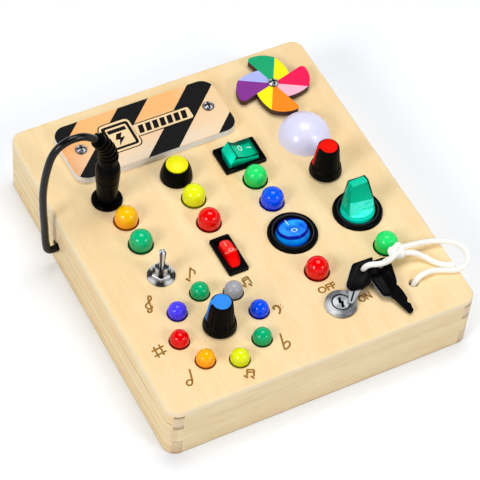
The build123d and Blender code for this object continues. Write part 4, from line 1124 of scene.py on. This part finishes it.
def oval(x, y, wide, tall=None, count=20):
    """The outline of a circle, or of an oval with those half sizes."""
    angles = [math.tau * i / count for i in range(count)]
    return [(x + wide * math.cos(a), y + (tall or wide) * math.sin(a)) for a in angles]


def level(height):
    """A flat plane at that height in mm."""
    return Matrix.Translation((0, 0, height * MM))


print("flat shapes can be cut")

# %% [markdown]
# ### The print on the plate
#
# The sign on the plate is a battery with a flash, and beside it a tag with charge bars. It is
# built up in layers a few hundredths of a millimetre thick, as screen printing is: dark outline,
# cream ground, dark frame, cream window, and the dark signs, which share the top layer.

# %% Print the battery and the charge bars
LAYER, LAYER_THICK, TOP_LAYER = 0.02, 0.03, 4
FLASH = [
    (-31.5, 61.7), (-28.7, 61.8), (-30.4, 59.2), (-28.3, 59.0), (-32.8, 54.8), (-31.2, 58.2),
    (-33.2, 58.6),
]
BARS, BARS_LEFT, BARS_LOW, BARS_HIGH = 7, -21.3, 57.7, 62.4
BAR_STEP, BAR_WIDTH, BAR_LEAN = 3.62, 2.5, 0.9
bars = []
for i in range(BARS):
    foot = BARS_LEFT + i * BAR_STEP
    left, right = foot + BAR_LEAN, foot + BAR_LEAN + BAR_WIDTH
    bars.append([
        (foot, BARS_LOW), (foot + BAR_WIDTH, BARS_LOW), (right, BARS_HIGH), (left, BARS_HIGH),
    ])
layers = {
    "sign_outline": ("print_ink", [
        rounded(oblong(-38.6, -22.1, 51.2, 69.2), 3.4),
        rounded(oblong(-40.6, -37.6, 61.2, 66.2), 1.6),
        rounded(oblong(-22.9, 6.2, 56.1, 64.1), 1.8)]),
    "sign_ground": ("print_cream", [
        rounded(oblong(-38.05, -22.65, 51.75, 68.65), 2.9),
        rounded(oblong(-40.05, -37.0, 61.75, 65.65), 1.2),
        rounded(oblong(-22.95, 5.65, 56.65, 63.55), 1.4)]),
    "sign_frame": ("print_ink", [
        rounded(oblong(-37.1, -23.6, 52.9, 67.4), 1.7),
        rounded(oblong(-38.9, -36.6, 62.0, 64.6), 0.5)]),
    "sign_window": ("print_cream", [rounded(oblong(-35.4, -25.0, 54.2, 65.9), 0.7)]),
    "sign_flash": ("print_ink", [FLASH, oblong(-34.9, -25.9, 62.7, 64.8)]),
    "sign_bars": ("print_ink", bars),
}
for depth, (name, (ink, outlines)) in enumerate(layers.items()):
    plane = level(PLATE_TOP + LAYER * min(depth, TOP_LAYER))
    shapes = [cut_out(name, [outline], LAYER_THICK, plane) for outline in outlines]
    choose(*shapes)
    if len(shapes) > 1:
        bpy.ops.object.join()
    joined = bpy.context.object
    joined.name = name
    finish_piece(joined, ink, "board", "printed_plate")
print("print layers", len(layers))

# %% [markdown]
# ## Engraved signs
#
# A laser has burnt the words beside the lock and eight musical signs round the ring of lamps.
# A word is a text object that is made a mesh and fitted to its place.


# %% Burn the two words
def word(name, text, left, right, low, high, tilt):
    """Engraved capitals that fill that box on the lid, turned by tilt degrees."""
    bpy.ops.object.select_all(action="DESELECT")
    bpy.ops.object.text_add()
    letters = bpy.context.object
    letters.name = name
    letters.data.body = text
    letters.data.extrude = 0.02
    letters.data.offset = 0.036
    made = made_mesh(letters)
    spots = [vertex.co for vertex in made.data.vertices]
    first, last = (Vector(map(end, zip(*spots))) for end in (min, max))
    middle = (first + last) / 2
    middle.z = first.z
    wide, tall, _ = last - first
    size = Matrix.Diagonal(((right - left) * MM / wide, (high - low) * MM / tall, MM, 1))
    at = Matrix.Translation(Vector(((left + right) / 2, (low + high) / 2, LID_TOP)) * MM)
    turned_by = Matrix.Rotation(math.radians(tilt), 4, "Z")
    settle(made, at @ turned_by @ size @ Matrix.Translation(-middle))
    return finish_piece(made, "burnt_line", "board", "pine")


off = word("off_word", "OFF", 12.1, 20.8, -54.0, -50.4, 3.0)
on = word("on_word", "ON", 26.1, 32.4, -65.5, -61.6, 4.0)
print("words are", [round(made.dimensions.y / MM, 1) for made in (off, on)], "mm high")

# %% [markdown]
# A musical sign is drawn with a few strokes, each a thin round tube along a curve, then pressed
# almost flat. A bar is a straight stroke and a bow is a smooth one.


# %% Strokes
def bar(*points):
    """A straight stroke through points (x, y) or (x, y, thickness factor), in mm."""
    return "POLY", points


def bow(*points):
    """A smooth stroke through such points."""
    return "NURBS", points


def strokes(name, lines, width, height=0.05):
    """Bars and bows of that width, pressed flat to that height, in mm."""
    lines = [
        (kind, [(*at[:2], 0, at[2] if len(at) > 2 else 1.0) for at in points])
        for kind, points in lines
    ]
    drawn = curve_of(
        name, lines, dimensions="3D", bevel_depth=width / 2 * MM, bevel_resolution=2,
        use_fill_caps=True, resolution_u=6,
    )
    return settle(made_mesh(drawn), Matrix.Diagonal((1, 1, height / (width / 2), 1)))


print("strokes can be drawn")

# %% [markdown]
# The treble clef is one bow, drawn upright with a height of 1 and then turned and enlarged. The
# other signs lie where they are on the lid. Note heads are short bars drawn with a thicker pen.

# %% Draw the musical signs
PEN = 0.84
CLEF = [
    (0.02, -0.13), (0.12, -0.12), (0.12, -0.25), (-0.02, -0.30), (-0.17, -0.22), (-0.20, -0.06),
    (-0.06, 0.08), (0.09, 0.22), (0.14, 0.38), (0.08, 0.50), (-0.01, 0.46), (-0.03, 0.28),
    (0.03, -0.02), (0.08, -0.30), (0.07, -0.45), (-0.03, -0.51), (-0.12, -0.46),
    (-0.10, -0.38, 1.6), (-0.07, -0.42, 1.6),
]
CLEF_X, CLEF_Y, CLEF_TALL, CLEF_LEAN = -57.9, -28.1, 8.9, math.radians(-19)
c, s = math.cos(CLEF_LEAN) * CLEF_TALL, math.sin(CLEF_LEAN) * CLEF_TALL
signs = {
    "treble_clef": [bow(*(
        (CLEF_X + x * c - y * s, CLEF_Y + x * s + y * c, *thick) for x, y, *thick in CLEF))],
    "sharp_sign": [
        bar((-66.15, -49.2), (-66.25, -55.1)), bar((-63.55, -48.9), (-63.65, -54.8)),
        bar((-67.9, -51.1), (-61.9, -50.4)), bar((-67.9, -53.9), (-61.9, -53.2))],
    "half_note": [
        bar((-57.25, -65.7), (-58.75, -71.6)),
        bow((-58.9, -71.0), (-60.2, -70.3), (-61.7, -71.6), (-61.4, -73.2), (-59.9, -73.3),
            (-58.7, -71.9), (-58.9, -71.0))],
    "sixteenth_notes": [
        bar((-35.1, -76.1), (-36.5, -78.9)), bar((-32.5, -77.5), (-34.0, -80.4)),
        bar((-35.2, -76.1), (-32.4, -77.5)), bar((-35.7, -77.2), (-33.0, -78.6)),
        bar((-37.6, -79.4, 2.5), (-36.8, -78.9, 2.5)),
        bar((-35.2, -80.8, 2.5), (-34.4, -80.4, 2.5))],
    "flat_sign": [
        bar((-13.6, -65.4), (-15.7, -73.6)),
        bow((-14.9, -71.0), (-13.6, -70.2), (-12.2, -70.4), (-12.0, -71.8), (-13.4, -73.3),
            (-15.7, -73.8))],
    "bass_clef": [
        bow((-9.9, -52.2, 1.5), (-10.0, -52.6, 1.5), (-9.5, -52.7, 1.3)),
        bar((-10.2, -52.7, 2.0), (-9.7, -52.5, 2.0)),
        bow((-10.0, -52.3, 1.2), (-9.6, -51.5, 1.2), (-8.2, -51.6, 1.4), (-7.3, -52.8, 1.4),
            (-7.7, -54.7, 1.2), (-9.2, -56.1)),
        bar((-6.3, -51.8, 1.3), (-6.1, -51.9, 1.3)), bar((-6.1, -53.3, 1.3), (-5.9, -53.4, 1.3))],
    "eighth_notes": [
        bar((-15.2, -32.9), (-15.2, -36.2)), bar((-12.4, -32.4), (-12.4, -36.6)),
        bar((-15.3, -32.8), (-12.3, -32.3)), bar((-15.2, -33.9), (-12.4, -33.4)),
        bar((-16.3, -36.7, 2.5), (-15.6, -36.3, 2.5)),
        bar((-13.6, -37.1, 2.5), (-12.9, -36.7, 2.5))],
    "eighth_note": [
        bar((-33.1, -17.7), (-35.9, -23.0)), bar((-37.3, -23.6, 2.7), (-36.4, -23.0, 2.7)),
        bow((-33.1, -17.8), (-32.7, -19.3), (-31.9, -20.3), (-32.9, -21.8))],
}
for name, lines in signs.items():
    drawn = settle(strokes(name, lines, PEN), level(LID_TOP))
    finish_piece(drawn, "burnt_line", "board", "pine")
print("signs", len(signs))

# %% [markdown]
# ## The round rocker
#
# A shape that changes from one section to the next is grown as a tower: a face is extruded, then
# scaled to the next section. The round rocker is such a tower, with a shallow dish on its top.
# It leans back about its pivot.


# %% Grow a tower
def tower(name, sections, corner=0.0, sides=48):
    """A solid through sections (half width, half depth, height), in mm. corner is the share of the
    first section's half depth that its corners are rounded by; without it sections are ovals."""
    bpy.ops.object.select_all(action="DESELECT")
    wide, deep, height = sections[0]
    if corner:
        bpy.ops.mesh.primitive_plane_add(size=2, location=(0, 0, 0))
    else:
        bpy.ops.mesh.primitive_circle_add(
            vertices=sides, radius=1, fill_type="NGON", location=(0, 0, 0)
        )
    made = bpy.context.object
    made.name = name
    settle(made, level(height) @ Matrix.Diagonal((wide * MM, deep * MM, 1, 1)))
    bpy.ops.object.mode_set(mode="EDIT")
    bpy.ops.mesh.select_all(action="SELECT")
    if corner:
        bpy.ops.mesh.bevel(offset=corner * deep * MM, segments=4, affect="VERTICES")
        bpy.ops.mesh.select_all(action="SELECT")
    for next_wide, next_deep, next_height in sections[1:]:
        rise = {"value": (0, 0, (next_height - height) * MM)}
        bpy.ops.mesh.extrude_region_move(TRANSFORM_OT_translate=rise)
        grown, middle = (next_wide / wide, next_deep / deep, 1), (0, 0, next_height * MM)
        bpy.ops.transform.resize(value=grown, center_override=middle)
        wide, deep, height = next_wide, next_deep, next_height
    bpy.ops.object.mode_set(mode="OBJECT")
    return clean(made)


def on_pivot(at, degrees, axis, unit=1.0):
    """A rocker's own axes: the lid's, turned about X or Y at its pivot. unit is 1 for mm."""
    pivot = Matrix.Translation(Vector((*at, LID_TOP)) * unit)
    return pivot @ Matrix.Rotation(math.radians(degrees), 4, axis)


blue_top = tower("blue_round_rocker", [(reach, reach, height) for reach, height in (
    (6.8, -3.5), (7.8, 0.2), (6.95, 2.8), (6.7, 3.5), (6.4, 3.75), (6.0, 3.7), (3.5, 3.4),
    (1.0, 3.3),
)])
settle(smooth(blue_top, 40), on_pivot(BLUE_AT, -BLUE_LEAN, "X", MM))
finish_piece(blue_top, "blue_rocker_clear", "blue_tipper", "blue_lens", "blue_rocker")
print("round rocker", [round(size / MM, 1) for size in blue_top.dimensions])

# %% [markdown]
# ### White marks on the rockers
#
# Each rocker carries a line and a ring, pressed in white. They are drawn flat in the same way,
# and then each point drops straight down on to the rocker below it.


# %% Mark the rockers
def drape(obj, target, lift=0.02):
    """Drops a flat piece on to an object: each point keeps its own height above it."""
    for vertex in obj.data.vertices:
        above = Vector((vertex.co.x, vertex.co.y, 0.2))
        hit, spot, _, _ = target.ray_cast(above, Vector((0, 0, -1)))
        if hit:
            vertex.co.z += spot.z + lift * MM
    obj.data.update()
    return obj


def ring(*settings):
    """A closed oval of straight strokes."""
    points = oval(*settings)
    return bar(*points, points[0])


rocker_marks = {
    "green_marks": (nodes["green_rocker"], "mark_white", "green_tipper", "green_lens", 0.42, [
        ring(15.9, 30.9, 0.8, 1.55, 12), bar((18.9, 30.3), (21.0, 29.5))]),
    "red_marks": (nodes["red_rocker"], "mark_rose", "red_tipper", "red_lens", 0.32, [
        bar((-14.65, -13.4), (-15.0, -16.4)), ring(-14.05, -19.2, 1.15, 0.7, 12)]),
    "blue_marks": (blue_top, "mark_white", "blue_tipper", "blue_lens", 0.46, [
        bar((16.3, -12.9), (16.4, -16.2)), ring(16.9, -20.4, 1.35, 1.2, 6)]),
}
for name, (target, finish, body, slot, width, lines) in rocker_marks.items():
    finish_piece(drape(strokes(name, lines, width, 0.08), target), finish, body, slot)
print("rocker marks", len(rocker_marks))

# %% [markdown]
# ### Painted dark edges of the green rocker
#
# Clear coloured plastic looks darkest at its sharp edges, where the eye looks along the wall
# instead of through it. That shade is painted with a fine dark thread laid along those edges.


# %% Lay dark threads along the edges
def thread(name, points_mm, radius_mm, body, slot):
    """A thin dark tube through points in mm, laid as painted shade."""
    made = tube(name, [Vector(p) * MM for p in points_mm], radius_mm * MM, 8)
    return finish_piece(made, "green_edge_shade", body, slot)


tip = on_pivot(GREEN_AT, GREEN_TIP, "Y")
HALF_WIDTH, FRONT, ARC_RADIUS, ARC_LOW, ARC_STEPS = 5.6, -4.92, 10.6, 4.72, 12
arc = []
for i in range(1, ARC_STEPS + 1):
    across = HALF_WIDTH * (2 * i / ARC_STEPS - 1)
    sag = ARC_RADIUS - math.sqrt(ARC_RADIUS ** 2 - across ** 2)
    arc.append(tip @ Vector((across, FRONT, ARC_LOW + sag)))
thread("green_front_edge_shade", arc, 0.28, "green_tipper", "green_lens")
ridge = [tip @ Vector(p) for p in ((-5.6, 4.9, 6.32), (-5.6, -4.92, 6.32), (-6.35, -4.94, 4.2))]
thread("green_ridge_edge_shade", ridge, 0.42, "green_tipper", "green_lens")
print("seams laid")

# %% [markdown]
# ## The paddle
#
# The paddle is one hollow moulding: a round skirt, and a blade that narrows upwards. Both are
# towers again. Their edges are rounded with a Bevel modifier, because a moulding has no sharp edge,
# and the blade's own edge gets a dark thread of painted shade.


# %% Build the paddle
def soften(obj, width_mm, angle=30):
    """Rounds the sharp edges of a piece and shades it smooth."""
    bevel = obj.modifiers.new("soft_edges", "BEVEL")
    bevel.width, bevel.segments, bevel.limit_method = width_mm * MM, 2, "ANGLE"
    bevel.angle_limit = math.radians(angle)
    choose(obj)
    bpy.ops.object.modifier_apply(modifier=bevel.name)
    return smooth(obj, 35)


lean = on_pivot(PADDLE_AT, -PADDLE_LEAN, "X", MM)
blade = tower("paddle_blade", [(7.1, 4.5, 1.6), (6.6, 3.3, 7.0), (4.1, 1.7, 18.3)], corner=0.35)
settle(soften(blade, 0.5), lean)
finish_piece(blade, "paddle_clear", "paddle_tipper", "turquoise_lens", "paddle")
skirt = tower("paddle_skirt", [(reach, reach, height) for reach, height in (
    (6.8, -3.5), (7.9, 0.6), (7.75, 1.6), (7.4, 2.2), (6.6, 2.6), (3.0, 2.8),
)])
settle(soften(skirt, 0.25, 50), lean)
finish_piece(skirt, "paddle_clear", "paddle_tipper", "turquoise_lens")
lean = on_pivot(PADDLE_AT, -PADDLE_LEAN, "X")
EDGE = [
    (-6.5, 3.2, 7.4), (-4.05, 1.6, 18.2), (4.0, 1.6, 18.25), (4.1, -1.55, 18.1), (6.5, -3.2, 7.2),
]
edge = [lean @ Vector(p) for p in EDGE]
thread("paddle_edge_shade", edge, 0.42, "paddle_tipper", "turquoise_lens")
print("paddle is", round(blade.dimensions.x / MM, 1), "mm wide")

# %% [markdown]
# ## The keys
#
# A key is a sheet-metal blade with a thick black plastic bow moulded round its end. All its
# parts are flat shapes: each outline is cut, its edges are rounded, and it is laid on the key's
# own tilted plane. The steel shows as a thin sheet at the bow's edge and in its eye.


# %% Cut the keys
def key_plane(foot, yaw, rise, up=0.0):
    """A plane with x along the key and z out of its face, up mm above the foot."""
    turn = Matrix.Rotation(math.radians(yaw), 4, "Z") @ Matrix.Rotation(math.radians(-rise), 4, "Y")
    return Matrix.Translation(Vector(foot) * MM) @ turn @ level(up)


KEY_A, EYE_A = ((25.4, -60.2, 34.75), 47.1, 10.3), (9.4, -1.25)
KEY_B, EYE_B = ((40.2, -80.0, 31.3), 90.0, 5.7), (26.5, -1.4)
BOW_A = [(-2.2, 1.35), (-0.4, 3.8), (10.5, 3.9), (16.6, -3.9), (4.3, -6.1), (0.4, -3.7)]
BOW_B = [
    (12.1, 4.6), (20.2, 5.5), (26.1, 4.7), (29.6, 1.7), (29.3, -5.3), (25.3, -6.6), (15.9, -4.4),
    (10.3, 0.9),
]
BLADE_A = [
    (0.6, -3.1), (-4.8, -2.0), (-7.6, -1.3), (-7.9, 0.0), (-7.6, 1.0), (-5.0, 1.5), (-2.2, 2.2),
    (-0.4, 2.6), (3.5, 2.2), (3.5, -2.6),
]
BLADE_B = [
    (0.0, -2.1), (0.4, -4.2), (4.0, -4.7), (5.4, -3.7), (7.0, -4.8), (11.0, -4.6), (14.1, -4.1),
    (17.0, -2.5), (15.0, 2.4), (13.1, 3.0), (9.0, 0.6), (4.0, -0.8),
]
SHEET_A, SHEET_B = ([(x - 0.1, y + 0.3) for x, y in outline] for outline in (BOW_A, BOW_B))
PAD = [oval(18.2, 0.2, 4.6, 3.3, 32), oval(18.2, 0.2, 4.0, 2.7, 32)]
for name, outlines, thickness, key, up, bevel, finish in (
    ("key_bow_a", [rounded(BOW_A, 1.3), oval(*EYE_A, 1.3)], 3.0, KEY_A, 0.0, 0.55, "black_plastic"),
    ("key_bow_b", [rounded(BOW_B, 1.3), oval(*EYE_B, 1.8)], 2.6, KEY_B, 0.0, 0.55, "black_plastic"),
    ("key_pad_b", PAD, 0.3, KEY_B, 2.45, 0.1, "black_plastic"),
    ("key_blade_a", [rounded(BLADE_A, 0.4, 2)], 1.4, KEY_A, 0.2, 0.2, "worn_steel"),
    ("key_blade_b", [rounded(BLADE_B, 0.4, 2)], 1.5, KEY_B, 0.3, 0.2, "black_nickel"),
    ("key_groove_a", [oblong(-6.8, 0.4, -0.6, 0.1)], 0.1, KEY_A, 1.55, 0.0, "black_nickel"),
    ("key_sheet_a", [rounded(SHEET_A, 1.4), oval(*EYE_A, 1.5)], 0.7, KEY_A, 0.9, 0.0, "worn_steel"),
    ("key_sheet_b", [rounded(SHEET_B, 1.4), oval(*EYE_B, 1.5)], 0.5, KEY_B, 0.8, 0.0, "worn_steel"),
):
    piece = cut_out(name, outlines, thickness, key_plane(*key, up), bevel)
    moulded_on = finish == "black_plastic"
    if moulded_on:
        smooth(piece, 50)
    finish_piece(piece, finish, "board", "black_plastic" if moulded_on else "steel")
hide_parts("key_bows")
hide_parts("key_blades")
length_of(loop_line)

# %% [markdown]
# ## The keyway
#
# The keyway is deep and narrow, so no light comes back out of it. A black sheet level with the
# core's face shows that, and it turns with the core. The black line round the core is painted shade
# in its running gap.

# %% Blacken the keyway
FACE_HEIGHT, GAP_OUTER, GAP_INNER, FILM = 33.0, 4.35, 3.75, 0.05
SLOT = [
    (-0.2, 2.7), (1.1, 2.7), (0.3, 0.6), (1.2, 0.1), (0.2, -2.7), (-1.1, -2.7), (-0.4, -0.5),
    (-1.2, 0.1),
]
lock_place = Matrix.Translation(Vector((*LOCK_AT, FACE_HEIGHT)) * MM)
keyway = cut_out("keyway_floor", [SLOT], FILM, lock_place)
finish_piece(keyway, "black_plastic", "lock_core", "nickel")
gap_rims = [oval(0, 0, reach, count=48) for reach in (GAP_OUTER, GAP_INNER)]
# Painted shade: a thin black ring in the gap round the core.
gap = cut_out("lock_gap_shade", gap_rims, FILM, level(0.04) @ lock_place)
finish_piece(gap, "black_plastic", "board", "nickel")
print("keyway is", round(keyway.dimensions.y / MM, 1), "mm long")

# %% [markdown]
# ## The button's spring
#
# The spring stands in the housing and holds the button up. When the button goes down, the spring
# gets shorter: its foot stays with the board, its top moves with the button, and each turn in
# between moves by its share. A copy of the CAD spring is merged and shaded smooth, and the places
# of its foot and top are measured.

# %% Copy the spring
spring = nodes["button_spring"].copy()
spring.data = spring.data.copy()
spring.name = "button_live_spring"
spring.parent = None
bpy.context.scene.collection.objects.link(spring)
smooth(clean(settle(spring, nodes["button_spring"].matrix_world.copy())), 40)
spring_low, spring_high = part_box("button_spring")
foot_at = (spring_low + spring_high) / 2
top_at = foot_at.copy()
foot_at.z, top_at.z = spring_low.z, spring_high.z
spring.data.materials.clear()
spring.data.materials.append(finishes[slots_of["button_spring"]])
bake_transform(spring)
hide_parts("button_spring")
print("spring is", round((spring_high.z - spring_low.z) / MM, 1), "mm long")

# %% [markdown]
# ## Dress the CAD parts
#
# Each CAD node takes the finish of its record slot. A few have a finish of their own: the walls
# share one slot, but each has its grain along its own length, and turned metal, clear rockers
# and knobs are laid out round their own axes.

# %% Hand out the finishes
OWN_FINISH = {
    "lid_pine": "top_panel",
    "front_pine": "front_wall back_wall", "side_pine": "left_wall right_wall",
    "toggle_metal": "toggle_washer bushing_nuts toggle_body", "lever_metal": "toggle_lever",
    "lock_rim": "lock_body", "lock_face": "lock_plug", "plate_screw_metal": "plate_screws",
    "hub_screw_metal": "pinwheel_screw", "round_frame_black": "blue_rocker_frame paddle_frame",
    "green_rocker_clear": "green_rocker", "blue_rocker_clear": "blue_rocker",
    "red_rocker_clear": "red_rocker", "paddle_clear": "paddle",
    "red_knob_paint": "red_knob red_knob_cap", "blue_knob_paint": "blue_knob blue_knob_cap",
}
own = {name: finish for finish, names in OWN_FINISH.items() for name in names.split()}
for name, node in nodes.items():
    node.data.materials.clear()
    node.data.materials.append(finishes[own.get(name) or slots_of[name]])
for piece in (strand, loop, knot, stop_knot):
    piece.data.materials.append(finishes["white_cord"])
power_lead.data.materials.append(finishes["lead_black"])
print("dressed", len(nodes), "nodes,", len(own), "of them in a finish of their own")

# %% Measure
low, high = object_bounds()
